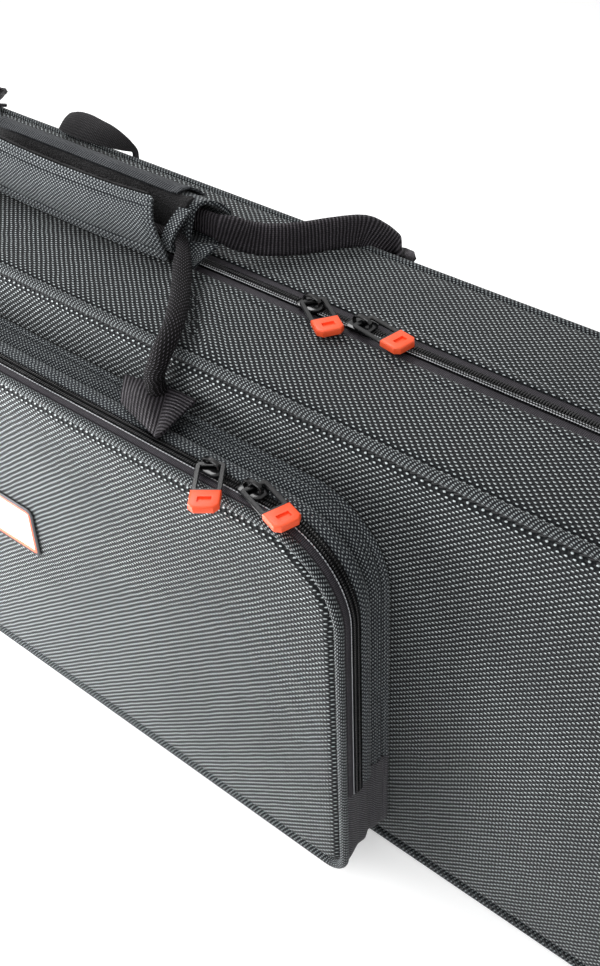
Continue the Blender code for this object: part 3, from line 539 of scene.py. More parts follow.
# Moulded black rubber: dull, and a little grey where it is worn
BLACK_RUBBER = moulded_look("moulded_black_rubber", "#1f1f21", "#2e2e30", 0.5, 0.08, 0.6)
# Moulded white vinyl: clean, with a low gloss
WHITE_VINYL = moulded_look("moulded_white_vinyl", "#f1f1ef", "#f8f8f6", 0.5, 0.03, 0.5)
# Moulded ABS: smooth black plastic with soft highlights
BLACK_ABS = moulded_look("moulded_black_abs", "#131314", "#202022", 0.4, 0.05, 0.38)
# Pressed fibre board: grey-brown and dull, with a coarse felt of fibres
SHELL_BOARD = moulded_look("pressed_fibre_board", "#4b4844", "#5d5a55", 1.2, 0.15, 0.75)
# Hook-and-loop nylon tape, napped by its hooks: a black fuzz without any shine
HOOK_TAPE = napped_look("hook_and_loop_nylon", "#050506", "#131214", 0.9, 0.6, 0.03)
# Woven velour: soft blue-grey pile, paler where it turns away
PLUSH = napped_look("woven_velour_lining", "#33373f", "#4a4f59", 0.9, 0.4, 0.25)


# Lines round the case and the pocket. The zips run over their tops and come down the sides to these
# heights. The hinge's cloth and the pocket's boot run along below, and reach up just short of them.

ZIP_ENDS, POCKET_ZIP_ENDS, GAP = 40, 77, 0.3
ROUND_CASE = line_of(outline(*CASE))
FINE_CASE = line_of(outline(*CASE, spacing=6))
OVER_CASE = part_of(CASE, ZIP_ENDS, upper=True)
UNDER_CASE = part_of(CASE, ZIP_ENDS - GAP, upper=False)
ROUND_POCKET = line_of(outline(*POCKET))
OVER_POCKET = part_of(POCKET, POCKET_ZIP_ENDS, upper=True)
UNDER_POCKET = part_of(POCKET, POCKET_ZIP_ENDS - GAP, upper=False)
GUIDES = [ROUND_CASE, FINE_CASE, OVER_CASE, UNDER_CASE, ROUND_POCKET, OVER_POCKET, UNDER_POCKET]


# Covers: the side cloth is hemmed at the zip and tucked under a corded edge, which is stitched down
# beside the face. A section's places are its inset from the outline and its y, from front to back.

SIDE_COVER = [
    (1.0, 10.3), (0.25, 10.1), (-0.15, 9.4), (-0.2, 7.6), (-0.1, 5.4), (0.35, 4.2), (0.1, 2.8),
    (0, -4), (0, -12), (0, -20), (0, -28), (0, -34), (0.05, -38), (0.2, -40.6), (0.5, -42.2),
    (1.0, -43.2), (1.9, -43.8), (2.9, -43.6), (2.9, -42.6), (1.8, -41), (1.6, -36), (1.6, -20),
    (1.6, -4), (1.6, 9.6),
]
EDGE_CORD = cord_section(2.3, -46.3, 2.35, 2.4)


def face_backward(obj):
    """Mirrors a piece that was made facing the front, so that it faces the back."""
    open_mesh(obj)
    bpy.ops.transform.mirror(constraint_axis=(False, True, False), center_override=(0, 0, 0))
    close_mesh()
    return obj


def face_rise(front):
    """The face cloth rises out of the stitched groove and crowns a little over its board."""
    def rise(inset, x, y):
        return front - 3.4 + 3.4 * ease(inset / 4.5) + 0.3 * ease(inset / 90)
    return rise


def pressed_in(cloth):
    """Presses a shallow crease into the lid's top beside each end of the front handle.

    The crease bends outward as it runs to the front, and the cloth swells on both sides of it, more outside.
    """
    top = 262
    for v in cloth.data.vertices:
        x, y, z = [c / mm for c in v.co]
        if z > top:
            away = abs(x) - (101 - 0.72 * (y - 2) + 0.006 * (y - 2) ** 2)
            crease = 1.5 * math.exp(-(away / 4) ** 2)
            swell = (2.6 if away > 0 else 1.2) * math.exp(-((abs(away) - 10) / 6) ** 2)
            v.co.z -= (crease - swell) * ease((y + 47) / 14) * ease((9 - y) / 12) * mm
    return cloth


def covers(side, section, cord, face_at):
    """One half's cloth: its side, its corded edge with the stitches, and its face."""
    cloth = carried(side + "_side_cover", FINE_CASE, section)
    rumple(cloth, 0.5, 70)
    if side == "lid":
        pressed_in(cloth)
    keep(cloth, side, [side + "_side_band"], BALLISTIC_NYLON, angle=50)
    edge = carried(side + "_edge_cord", FINE_CASE, cord)
    keep(edge, side, [side + "_piping"], PIPING_NYLON, angle=60)
    thread = stitch(long=3.3, thick=0.75, slant=28)
    seam = strung(side + "_edge_stitches", thread, ROUND_CASE, pitch=3.6, inset=4.5,
                  y=face_at - math.copysign(0.7, face_at))
    keep(seam, side, [], DARK_THREAD)
    face = panel(side + "_face_cover", inside_edge(CASE), FACE_RINGS, CLOTH_SPACING,
                 face_rise(abs(face_at) - 0.3), thick=1.5)
    if side == "base":
        face_backward(face)
    rumple(face, 0.5, 90)
    keep(face, side, [side + "_outer_panel"], BALLISTIC_NYLON, angle=50)


def tooth(wide, long, tall):
    """One turn of the coil: a rounded bar across the zip."""
    bpy.ops.mesh.primitive_cylinder_add(vertices=8, radius=0.5, depth=1, location=(0, 0, 0))
    bar = bpy.context.object
    bar.scale = (wide * mm, tall * mm, long * mm)
    pick(bar)
    bpy.ops.object.transform_apply(location=True, scale=True)
    open_mesh(bar)
    choose("FACE", lambda f: len(f.verts) > 4)
    bpy.ops.mesh.inset(thickness=0.22 * min(wide, tall) * mm, depth=0.2 * mm)
    return close_mesh()


def stitch(long, thick, slant=0.0):
    """One stitch: a short thread that dips into the cloth at both ends."""
    bpy.ops.mesh.primitive_cylinder_add(vertices=6, radius=thick / 2 * mm, depth=long * mm,
                                        rotation=(0, math.pi / 2, 0))
    thread = bpy.context.object
    bpy.ops.object.transform_apply(rotation=True)
    open_mesh(thread)
    choose("FACE", lambda f: len(f.verts) > 4)
    bpy.ops.mesh.inset(thickness=0.1 * thick * mm, depth=0.25 * thick * mm)
    close_mesh()
    thread.rotation_euler = (0, math.radians(slant), 0)
    pick(thread)
    bpy.ops.object.transform_apply(rotation=True)
    return thread


covers("lid", SIDE_COVER, EDGE_CORD, LID_FACE)
covers("base", mirrored(SIDE_COVER), mirrored(EDGE_CORD), BASE_FACE)


# Main zip: two corded tapes and two rows of coil teeth

TAPE = [
    (1.4, 9.4), (1.3, 10.2), (0.7, 10.8), (0.45, 12.0), (0.4, 13.4), (0.45, 14.3), (0.7, 14.7),
    (0.6, 14.9), (0.9, 15.1), (1.9, 15.1), (1.9, 9.4),
]
ZIP_CORE = [(0.6, 15.2), (0.6, 18.6), (1.5, 18.6), (1.5, 15.2)]
HINGE = [(0.9, 10), (0.3, 10.6), (0.15, 13), (0.3, 16), (0.5, 18.6), (1.6, 18.6), (1.6, 10)]
# Where the teeth sit, and a row of painted glints on the front of the coil
TEETH_AT, FRONT_GLINT_ROW_AT = 17.2, 15.7
COIL_PITCH = 1.45


def main_zip(side, tape_section, core_section, hinge_section, teeth_at):
    """One side's tape, its coil on a core, and the cloth hinge along the lower edge."""
    tape = carried(side + "_zip_cloth", OVER_CASE, tape_section)
    keep(tape, side, [side + "_zip_tape"], SMOOTH_TAPE)
    teeth = strung(side + "_zip_teeth", tooth(wide=1.0, long=2.6, tall=1.4), OVER_CASE, COIL_PITCH,
                   inset=-0.25, y=teeth_at)
    keep(teeth, side, [side + "_zip_coil"], NYLON_COIL, angle=60)
    core = carried(side + "_zip_core", OVER_CASE, core_section)
    keep(core, side, [], NYLON_COIL)
    hinge = carried(side + "_hinge_cloth", UNDER_CASE, hinge_section)
    keep(hinge, side, [side + "_hinge_strip"], WEBBING)


def coil_painted_glints(number, y, shift):
    """Pale dots over the coil, one on every turn, drawn as short threads: painted glints where the light
    catches the front of the coil's turns.
    """
    dot = moved(stitch(long=0.8, thick=0.5), (shift, 0, 0))
    thread = strung("lid_coil_thread_" + number, dot, OVER_CASE, COIL_PITCH, inset=-0.5, y=y)
    keep(thread, "lid", [], PALE_THREAD_AND_GLINTS)


main_zip("lid", TAPE, ZIP_CORE, HINGE, TEETH_AT)
main_zip("base", mirrored(TAPE), mirrored(ZIP_CORE), mirrored(HINGE), across_zip(TEETH_AT))
# Two rows of pale dots on the lid's coil: painted glints where the light catches its turns
coil_painted_glints("0", FRONT_GLINT_ROW_AT, 0)
coil_painted_glints("1", TEETH_AT, 0.72)


# Pocket: two gussets, a light zip, a corded front, and plain cloth where the zip ends

BACK_GUSSET = [
    (3.0, -48.8), (1.5, -49.0), (0.9, -49.8), (0.9, -50.9), (1.6, -51.7), (3.4, -52.1), (3.8, -53.0),
    (2.6, -53.8), (2.2, -54.6), (2.8, -55.4), (3.6, -56.0), (2.6, -56.8), (2.3, -57.6), (3.0, -58.6),
    (5.6, -59.6), (6.8, -61.4), (6.6, -63.2), (5.4, -64.3), (8.4, -64.4), (8.6, -48.8),
]
MID_GUSSET = [
    (3.6, -63.9), (1.4, -64.1), (0.3, -64.9), (-0.2, -66.2), (-0.1, -68.0), (0.2, -70.0),
    (0.6, -71.4), (1.6, -72.5), (5.4, -72.5), (5.4, -63.9),
]
BOOT = [
    (2.4, -81.8), (1.5, -81.3), (1.3, -80.0), (1.6, -77.4), (2.4, -74.0), (2.9, -71.0), (2.4, -68.6),
    (2.0, -66.6), (2.8, -64.6), (3.9, -62.4), (3.6, -60.0), (2.5, -58.2), (2.0, -56.4), (2.2, -54.2),
    (2.4, -52.8), (1.1, -51.9), (0.7, -50.8), (0.9, -49.7), (1.8, -49.0), (5.4, -49.0), (5.6, -60),
    (4.4, -70), (4.2, -81.8),
]
POCKET_TAPE = [
    (1.6, -77.3), (0.9, -77.7), (0.5, -78.5), (0.4, -79.8), (0.6, -81.0), (1.4, -81.8), (2.6, -81.8),
    (2.6, -77.3),
]
POCKET_CORD = cord_section(2.6, -84.0, 2.35, 2.35)


def pocket():
    back = rumple(carried("pocket_back_cloth", OVER_POCKET, BACK_GUSSET), 0.6, 30)
    keep(back, "lid", ["pocket_back_gusset"], FINE_NYLON, angle=50)
    mid = rumple(carried("pocket_mid_cloth", OVER_POCKET, MID_GUSSET), 0.6, 30)
    keep(mid, "lid", ["pocket_mid_gusset"], FINE_NYLON, angle=50)
    boot = rumple(carried("pocket_boot", UNDER_POCKET, BOOT), 0.8, 18)
    keep(boot, "lid", ["pocket_lower_gusset"], PLAIN_NYLON, angle=60)
    for row, body, y, under, edge in (
        ("rear", "lid", -73.7, -72.6, -74.9),
        ("front", "pocket_front", -76.2, -77.3, -75.05),
    ):
        teeth = strung("pocket_" + row + "_teeth", tooth(wide=0.95, long=2.0, tall=1.2), OVER_POCKET,
                       pitch=1.35, inset=-0.2, y=y)
        keep(teeth, body, ["pocket_" + row + "_coil"], NYLON_COIL, angle=60)
        core = [(0.3, under), (0.25, y), (0.5, edge), (1.6, edge), (1.6, under)]
        keep(carried("pocket_" + row + "_core", OVER_POCKET, core), body, [], NYLON_COIL)
    tape = carried("pocket_front_band", OVER_POCKET, POCKET_TAPE)
    keep(tape, "pocket_front", ["pocket_front_tape"], SMOOTH_TAPE, angle=50)
    seam = strung("pocket_zip_stitches", stitch(long=1.1, thick=0.7), OVER_POCKET,
                  pitch=1.9, inset=0.75, y=-77.95)
    keep(seam, "pocket_front", [], PALE_THREAD_AND_GLINTS)
    cord = carried("pocket_front_piping", ROUND_POCKET, POCKET_CORD)
    keep(cord, "pocket_front", ["pocket_piping"], PIPING_NYLON, angle=60)
    face = panel("pocket_face", inside_edge(POCKET), FACE_RINGS, CLOTH_SPACING, pocket_rise, thick=2.4)
    rumple(face, 0.5, 80)
    keep(face, "pocket_front", ["pocket_panel"], BALLISTIC_NYLON, angle=50)


def pocket_rise(inset, x, y):
    """The pocket's padded face swells out of its corded seam."""
    return 82.9 + 2.9 * ease(inset / 4.5) + 0.5 * ease(inset / 60)


BADGE = (52, 118, 152, 4, 4)
BADGE_FIELD = (48.1, 121.9, 148.1, 0.4, 0.4)
BADGE_LINE = [(2.1, -87.3), (2.15, -87.8), (2.45, -88.0), (3.45, -88.0), (3.75, -87.8), (3.8, -87.3)]


def frame_rise(inset, x, y):
    """The badge's frame is rounded at its rim, and steps down inside it for the line and the field."""
    return 87.95 - 0.5 * (1 - ease(inset / 0.8)) - 0.45 * ease((inset - 1.95) / 0.2)


def field_rise(inset, x, y):
    return 87.55 + 0.2 * ease(inset / 0.5)


def badge():
    """A moulded badge: a black rubber frame, an orange line and a bare white field."""
    rim = panel("label_frame", BADGE, [0, 0.25, 0.55, 0.9, 1.9, 2.15, 4.2],
                spacing=20, rise=frame_rise, thick=1.4)
    keep(rim, "pocket_front", ["label_badge"], BLACK_RUBBER)
    line = line_of(outline(*BADGE, spacing=30))
    ring = carried("label_line", line, BADGE_LINE)
    keep(ring, "pocket_front", [], ORANGE_RUBBER, angle=30)
    bpy.data.objects.remove(line)
    field = panel("label_blank", BADGE_FIELD, [0, 0.2, 0.6], spacing=12, rise=field_rise, thick=0.3)
    keep(field, "pocket_front", ["label_field"], WHITE_VINYL)


pocket()
badge()


# Handles: folded webbing, each strap's ends spread and stitched down

FRONT_STRAP = [
    (128, -55, 244), (128.4, -56.8, 256), (132.4, -57.5, 265), (133.9, -54.8, 272),
    (133.4, -50, 276.6), (130.4, -43.2, 279.3), (124.6, -34.6, 280.2), (117, -25, 280.8),
    (110.6, -17.6, 281.2), (104.2, -10.4, 281.8), (98.6, -4.6, 282.4), (93.4, 1.2, 283),
    (88, 6.8, 283.6), (83, 10.8, 284),
]
REAR_STRAP = [
    (160.4, 94, 260.8), (161.3, 94.7, 263), (160.6, 94.9, 265.6), (156, 93, 268.8),
    (150.5, 89.8, 273), (144, 83.4, 278), (135.4, 70.4, 279.6), (125.6, 56.2, 279.6),
    (115.6, 44.6, 280.2), (106.2, 37, 282), (99, 31.6, 285.4), (92, 27.8, 288),
]
# A braided tube, slightly flattened, and a webbing folded along its middle and standing on edge
TUBE = cord_section(0, 0, 5.0, 4.9, sides=20)
FOLD = [
    (0.0, 9.4), (1.3, 9.1), (2.2, 7.8), (2.5, 5.0), (2.2, 1.5), (2.6, -1.5), (2.4, -5.0),
    (1.9, -7.6), (1.1, -9.0), (-0.8, -9.2), (-1.0, -8.0), (-0.4, -7.2), (-1.3, -7.0), (-2.2, -4.8),
    (-2.5, -1.5), (-2.2, 1.5), (-2.4, 5.0), (-2.0, 7.8), (-1.1, 9.1),
]


def smooth_route(points, steps):
    """A smooth curve through the points, with so many steps from each to the next."""
    ends = [2 * points[0] - points[1]] + points + [2 * points[-1] - points[-2]]
    route = []
    for a, b, c, d in zip(ends, ends[1:], ends[2:], ends[3:]):
        for i in range(steps):
            t = i / steps
            route.append(0.5 * (2 * b + (c - a) * t + (2 * a - 5 * b + 4 * c - d) * t ** 2
                                + (3 * b - a - 3 * c + d) * t ** 3))
    return route + [points[-1]]


def strap_line(places, flat_from, spread):
    """The strap's middle line, from one foot through the grip to the other.

    It is thinner inside the grip. Beyond flat_from it turns flat on the case and narrows a little. Its left
    foot lies further out than its right one, by the spread.
    """
    inside_grip = (60, 20, -20, -60)
    flat_turn = 1.25
    half = smooth_route([Vector(place) for place in places], 4)
    route = half + [Vector((x, half[-1].y, half[-1].z)) for x in inside_grip]
    route += [Vector((-p.x - spread * ease((p.x - 105) / 30), p.y, p.z)) for p in reversed(half)]
    wire = drawn([tuple(p * mm) for p in route])
    pick(wire)
    bpy.ops.object.convert(target="CURVE")
    line = bpy.context.object
    line.data.dimensions = "3D"
    line.data.twist_mode = "Z_UP"
    for point in line.data.splines[0].points:
        out = abs(point.co.x) / mm
        full = 0.7 + 0.3 * ease((out - 88) / 12)
        point.radius = full - 0.08 * ease((out - flat_from + 6) / 8)
        point.tilt = math.copysign(flat_turn * ease((out - flat_from) / 6), -point.co.x)
    return line


def strap(name, places, section, look, body, node, flat_from, spread):
    line = strap_line(places, flat_from, spread)
    piece = carried(name, line, section, standing=False)
    keep(rumple(piece, 0.5, 20), body, [node], look, angle=60)
    bpy.data.objects.remove(line)


def grid(name, long, wide, columns, rows):
    """A flat band of cloth, one unit long and one wide, with its UVs laid out at its real size."""
    bpy.ops.mesh.primitive_grid_add(x_subdivisions=columns, y_subdivisions=rows, size=1)
    band = bpy.context.object
    band.name = band.data.name = name
    layer = band.data.uv_layers[0]
    layer.name = "cloth"
    for corner in band.data.loops:
        u, v, w = band.data.vertices[corner.vertex_index].co
        layer.data[corner.index].uv = (u * long * mm, v * wide * mm)
    return band


def front_foot(side, sign):
    """The front strap's end, opened out and folded to a point in front.

    Beyond the fold its ribs run the other way, and its cut end stands off the cloth.
    """
    foot = grid("front_foot_" + side, long=48, wide=26, columns=32, rows=16)
    ribs = foot.data.uv_layers["cloth"].data
    for face in foot.data.polygons:
        if face.center.x >= 0:
            for corner in face.loop_indices:
                u, v = ribs[corner].uv
                ribs[corner].uv = (v, u)
    top = [Vector(p) for p in ((106, -55.6, 247), (130.8, -50.8, 247.5), (150.2, -51.6, 249.4))]
    low = [Vector(p) for p in ((114.6, -67, 241.4), (146.4, -75.6, 240.8), (148.4, -74, 242.4))]
    swell = (3.2, 1.4)
    for v in foot.data.vertices:
        u, w = 2 * (v.co.x + 0.5), 0.5 - v.co.y
        k = 0 if u < 1 else 1
        place = top[k].lerp(top[k + 1], u - k).lerp(low[k].lerp(low[k + 1], u - k), w)
        place.z += swell[k] * math.sin(math.pi * (u - k)) * math.sin(math.pi * w)
        v.co = (sign * place.x * mm, place.y * mm, place.z * mm)
    apply_modifier(foot, "SOLIDIFY", thickness=1.7 * mm, offset=0)
    keep(rumple(foot, 0.6, 9), "lid", ["front_anchor_" + side], WEBBING, angle=40)


REAR_FOOT = (23, 205.7, 262, 3, 3)


def feet():
    """The ends of both straps. The rear strap's left end is sewn down a little further out than its right."""
    for side, sign, rear_foot_at in (("left", -1, -164), ("right", 1, 158)):
        front_foot(side, sign)
        patch = panel("rear_foot_" + side, REAR_FOOT, [0, 0.6, 1.4, 2.6, 5],
                      spacing=4, rise=rear_foot_rise, thick=2.2)
        patch = face_backward(moved(patch, (rear_foot_at, 0, 0)))
        keep(patch, "base", ["rear_anchor_" + side], WEBBING, angle=60)


def rear_foot_rise(inset, x, y):
    """The strap end opens out flat down the back, with a stitched cross pressed into it."""
    cross = min(abs(abs(x) - abs(y - 230) * 0.9), 1.2) / 1.2
    border = min(abs(inset - 3.4), 1.0) / 1.0
    return 88.6 + 0.9 * ease(inset / 2) - 0.5 * (1 - min(cross, border)) + 0.7 * ease((y - 235) / 22)


def hang_loop():
    """A webbing loop: its feet are stitched to the back, and its arch leans forward and opens out wide."""
    middle, half_span, arch = -64, 30, 17.0
    band = grid("rear_loop", long=123, wide=13, columns=48, rows=8)
    for v in band.data.vertices:
        along, across = v.co.x, v.co.y
        turn = math.pi * min(max((along + 0.5) * 1.64 - 0.32, 0), 1)
        rise = math.sin(turn)
        foot = 24 * max(abs(along) - 0.305, 0) / 0.195
        v.co = ((middle - half_span * math.cos(turn)) * mm,
                (88.1 - 12 * rise + across * (3 + 10 * rise)) * mm,
                (272 + arch * rise - foot - 10.5 * rise * (0.5 - across) ** 1.6) * mm)
    apply_modifier(band, "SOLIDIFY", thickness=1.8 * mm, offset=0)
    keep(rumple(band, 0.8, 14), "base", ["rear_hang_loop"], LOOP_TAPE, angle=60)


FLAP = (76, 273, 308, 3, 3)
HOOKS = (71, 299.4, 308.0, 1, 1)
FLAP_RINGS = [0, 0.5, 1.1, 1.9, 2.3, 2.8, 3.8, 5.0, 5.5, 5.9, 6.4, 7.4]
FLAP_HALF, FLAP_LOW, FLAP_TALL = FLAP[0], FLAP[1], FLAP[2] - FLAP[1]


def flap_rise(inset, x, y):
    """The grip's outer flap: bowed over the straps, its hem folded double and stitched."""
    t = (y - FLAP_LOW) / FLAP_TALL
    bow = -4.6 + 3.4 * math.sin(math.pi * min(max(t, 0), 1)) ** 0.9 - 1.4 * ease((t - 0.6) / 0.4)
    hem = 0.8 * (1 - ease((inset - 5.0) / 0.7))
    groove = 0.8 * math.exp(-((inset - 5.9) / 0.55) ** 2) + 0.7 * math.exp(-((inset - 2.3) / 0.45) ** 2)
    return bow + hem - groove - 0.5 * (1 - ease(inset / 0.9))


def sagged(cloth):
    """Lets the flap's middle hang forward and down between its straps, and cuts its ends on a slant."""
    for v in cloth.data.vertices:
        x, y, z = [c / mm for c in v.co]
        middle = 1 - min(abs(x) / FLAP_HALF, 1) ** 2
        slant = 1 + (3.5 - 8.5 * ease((z - FLAP_LOW) / FLAP_TALL)) / FLAP_HALF * ease((abs(x) - 30) / 46)
        sag = (1.5 + 1.0 * ease((z - FLAP_LOW) / 32)) * middle
        v.co = (x * slant * mm, (y - 1.2 * middle) * mm, (z - sag) * mm)
    return cloth


# Sections of the grip's cloths, as places in y and height: the wrap, a front cuff, the wrap's field of loops
# that the flap's hooks close on, and the band of webbing over its back
WRAP_OUTER = [
    (17.6, 274.4), (16.8, 277), (16.6, 283), (17.2, 290), (18.6, 296.5), (21.0, 300.6),
    (24.5, 302.2), (29, 301.2), (34, 297.6), (38, 293.0), (39.6, 288), (38.6, 281), (35.4, 275.8),
    (30, 273.4), (24, 273.2),
]
CUFF = [
    (5.6, 279.0), (4.8, 282.5), (5.1, 286), (7.0, 290.6), (11.0, 295.6), (16.0, 300.0),
    (17.6, 298.2), (13.2, 294.2), (9.2, 289.6), (7.3, 286), (6.9, 282.5), (7.6, 279.6),
]
LOOP_FIELD = [
    (17.2, 276.4), (15.7, 279), (15.3, 283), (15.8, 290.2), (17.2, 297), (19.6, 301.8),
    (22.5, 303.4), (23, 302.0), (20.8, 300.6), (18.4, 296.4), (17.0, 290), (16.4, 283), (16.7, 279),
    (17.9, 276.8),
]
BACK_BAND = [
    (20.6, 302.4), (20.4, 303.5), (24.2, 305.0), (28.4, 304.4), (33.6, 300.9), (37.6, 296.4),
    (36.9, 295.6), (32.8, 299.9), (28.2, 303.2), (24.4, 303.7),
]
# Where the grip's cloth is divided: closely at its cut ends, evenly between them
GRIP_ENDS = [90, 89.4, 88.6, 87.2, 85.8, 84.4]
GRIP_MIDDLE = list(range(80, -81, -4))


def wrap_section():
    """The padded wrap, open along its lower front edge: its outer face, and its inner one inside it."""
    thick = 2.6
    middle = Vector((27.6, 287.6))
    spokes = [Vector(p) - middle for p in WRAP_OUTER]
    inner = [middle + spoke * (1 - thick / spoke.length) for spoke in spokes]
    return WRAP_OUTER + [tuple(p) for p in reversed(inner)]


def slanted(cloth, front, back, climb):
    """Cuts both ends of the grip cloth on a slant, and rolls a hem along them.

    The cut runs from this far out at the front to that far at the back, and further out as it climbs.
    """
    for v in cloth.data.vertices:
        x, y, z = [c / mm for c in v.co]
        end = front + (back - front) * min(max((y - 5) / 30, 0), 1) ** 0.8 + climb * (z - 275) / 28
        hem = 0.7 * ease((abs(x) - 84.5) / 2) * (1 if z > 283 else -1)
        v.co = (x * end / GRIP_ENDS[0] * mm, y * mm, (z + hem) * mm)
    return cloth


def grip_cloth(name, line, section, body, nodes, look, cut, unevenness, sign=1):
    """One cloth of the grip, carried along its line, cut at its ends and slightly uneven."""
    cloth = slanted(carried(name, line, [(-z * sign, y) for y, z in section]), *cut)
    return keep(rumple(cloth, *unevenness), body, nodes, look, angle=60)


def corner_rise(inset, x, y):
    return 0.5 * math.sin(x / 3) + 0.6 * (1 - ease(inset / 1.2))


def grip_corner(side, sign):
    """The wrap's lower corner, turned out over the zip."""
    half = 7
    cloth = panel("grip_corner_" + side, (half, -half, half, 0.5, 0.5), [0, 0.6, 1.3],
                  spacing=1.5, rise=corner_rise, thick=1.5, standing=False)
    a, b, c = Vector((80.5, 16.6, 280.4)), Vector((99, 20.5, 281.8)), Vector((91.5, 8.8, 271.0))
    out = (b - a).cross(c - a).normalized()
    for v in cloth.data.vertices:
        u, w = v.co.x / mm / (2 * half) + 0.5, 0.5 - v.co.y / mm / (2 * half)
        spot = a.lerp(b, u) * (1 - w) + c * w - out * v.co.z / mm
        v.co = (sign * spot.x * mm, spot.y * mm, spot.z * mm)
    keep(cloth, "rear_handle", [], FINE_NYLON, angle=60)


def hook_rise(inset, x, y):
    return -5.6 - 1.2 * ease((y - 300) / 8)


def grip():
    """The flap over the straps with its hook tape, the wrap round them, and what is sewn to the wrap."""
    flap = panel("grip_cover", FLAP, FLAP_RINGS, spacing=3.5, rise=flap_rise, thick=2.4)
    keep(sagged(rumple(flap, 0.8, 25)), "grip_flap", ["grip_flap"], FINE_NYLON, angle=60)
    hooks = panel("grip_hooks", HOOKS, [0, 0.4, 1], spacing=2.5, rise=hook_rise, thick=1.5)
    keep(sagged(rumple(hooks, 1.0, 5)), "grip_flap", ["grip_hook_tape"], HOOK_TAPE, angle=60)
    stations = GRIP_ENDS + GRIP_MIDDLE + [-x for x in reversed(GRIP_ENDS)]
    line = line_of(drawn([(x * mm, 0, 0) for x in stations]))
    wrap = grip_cloth("grip_wrap", line, wrap_section(), "rear_handle", ["grip_sleeve"],
                      FINE_NYLON, cut=(70, 90, 4), unevenness=(1.0, 25))
    grip_cloth("grip_loops", line, LOOP_FIELD, "rear_handle", [], HOOK_TAPE,
               cut=(70, 84, 4), unevenness=(1.0, 5))
    for side, sign in (("left", -1), ("right", 1)):
        short = line_of(drawn([(sign * x * mm, 0, 0) for x in GRIP_ENDS + [82]]))
        grip_cloth("grip_cuff_" + side, short, CUFF, "front_handle", [], FINE_NYLON,
                   cut=(80, 86, 4), unevenness=(0.8, 15), sign=sign)
        bpy.data.objects.remove(short)
    grip_cloth("grip_back_band", line, BACK_BAND, "rear_handle", [], GREY_WEBBING,
               cut=(68, 76, 0), unevenness=(0.8, 20))
    grip_corner("right", 1)
    grip_corner("left", -1)
    bpy.data.objects.remove(line)


# The front strap stays a tube to its very end: it would turn flat only further out than it reaches
strap("front_strap", FRONT_STRAP, TUBE, BRAIDED_NYLON, "front_handle", "front_handle_webbing",
      flat_from=200, spread=0)
strap("rear_strap", REAR_STRAP, FOLD, WEBBING, "rear_handle", "rear_handle_webbing",
      flat_from=156, spread=18)
feet()
hang_loop()
grip()


# Zip sliders and their pulls: each slider's place, its width, and the turn of its pull in degrees

SLIDERS = {
    "main_left": (163, 18.8, 271.2, 11.2, -33),
    "main_right": (194, 18.8, 271.2, 11.2, -10),
    "pocket_left": (181, -74.95, 239.2, 9.2, -53),
    "pocket_right": (206, -74.95, 239.2, 9.2, -18),
}
ARCH_BAR = [
    (-0.6, 0.8), (-0.25, 1.2), (0.25, 1.2), (0.6, 0.8),
    (0.6, -0.8), (0.25, -1.2), (-0.25, -1.2), (-0.6, -0.8),
]
LINK_BAR = [
    (0.35, -0.75), (0, -0.4), (0, 0.4), (0.35, 0.75),
    (2.05, 0.75), (2.4, 0.4), (2.4, -0.4), (2.05, -0.75),
]
# The middle of a link, and the start of a tip, from the pin that the pull turns on
LINK_AT, TIP_AT = 9.5, 19.3


def block(size, place):
    """A block of this size at this place, in millimetres, ready to be shaped."""
    bpy.ops.mesh.primitive_cube_add(size=1, location=[p * mm for p in place])
    made = bpy.context.object
    made.scale = [s * mm for s in size]
    bpy.ops.object.transform_apply(location=True, scale=True)
    return made


def upright(edge):
    """How far an edge runs in height, in millimetres."""
    return abs(edge.verts[0].co.z - edge.verts[1].co.z) / mm


def slider_body(name, width):
    """A die-cast slider: a shouldered plate with rolled sides, and an arch over it."""
    plate = block(size=(14, width, 1.5), place=(0, 0, 0.75))
    open_mesh(plate)
    choose("EDGE", lambda e: upright(e) > 1)
    bpy.ops.mesh.bevel(offset=3.2 * mm, segments=4)
    choose("FACE", lambda f: f.normal.z > 0.9)
    for border, rise in ((0.5, 0.25), (1.3, 0.2)):
        bpy.ops.mesh.inset(thickness=border * mm, depth=0)
        bpy.ops.transform.translate(value=(0, 0, rise * mm))
    close_mesh()
    side = [(4.9, 0), (4.9, 1.4), (4.4, 2.7), (3.4, 3.5), (1.8, 3.95)]
    hoop = side + [(0, 4.05)] + [(-x, z) for x, z in reversed(side)]
    line = line_of(drawn([(x * mm, (z + 1.4) * mm, 0) for x, z in hoop]))
    arch = carried(name + "_arch", line, ARCH_BAR)
    bpy.data.objects.remove(line)
    pick(arch, plate)
    bpy.ops.object.join()
    plate.name = plate.data.name = name
    return plate


def pull_link(name):
    """A flat wire link with bevelled edges."""
    line = line_of(outline(10.25, -6.8, 6.8, 2.4, 2.4, spacing=8))
    link = carried(name, line, LINK_BAR, standing=False)
    bpy.data.objects.remove(line)
    return moved(link, (LINK_AT, 0, 0))


def pull_tip(name):
    """A moulded rubber tip: square at the link, cut off at its free corners, with a plain hollow on top."""
    hollow = block(size=(3.4, 6.2, 2.6), place=(6.4, 0, 2.2))
    tip = block(size=(11.6, 13.6, 4.0), place=(5.8, 0, 0))
    tip.name = tip.data.name = name
    open_mesh(tip)
    choose("EDGE", lambda e: upright(e) > 1 and e.verts[0].co.x > 8 * mm)
    bpy.ops.mesh.bevel(offset=2.4 * mm, segments=1)
    choose("EDGE", lambda e: upright(e) < 0.1)
    bpy.ops.mesh.bevel(offset=0.9 * mm, segments=3)
    close_mesh()
    apply_modifier(tip, "BOOLEAN", object=hollow, operation="DIFFERENCE", solver="EXACT")
    bpy.data.objects.remove(hollow)
    return moved(tip, (TIP_AT, 0, 0))


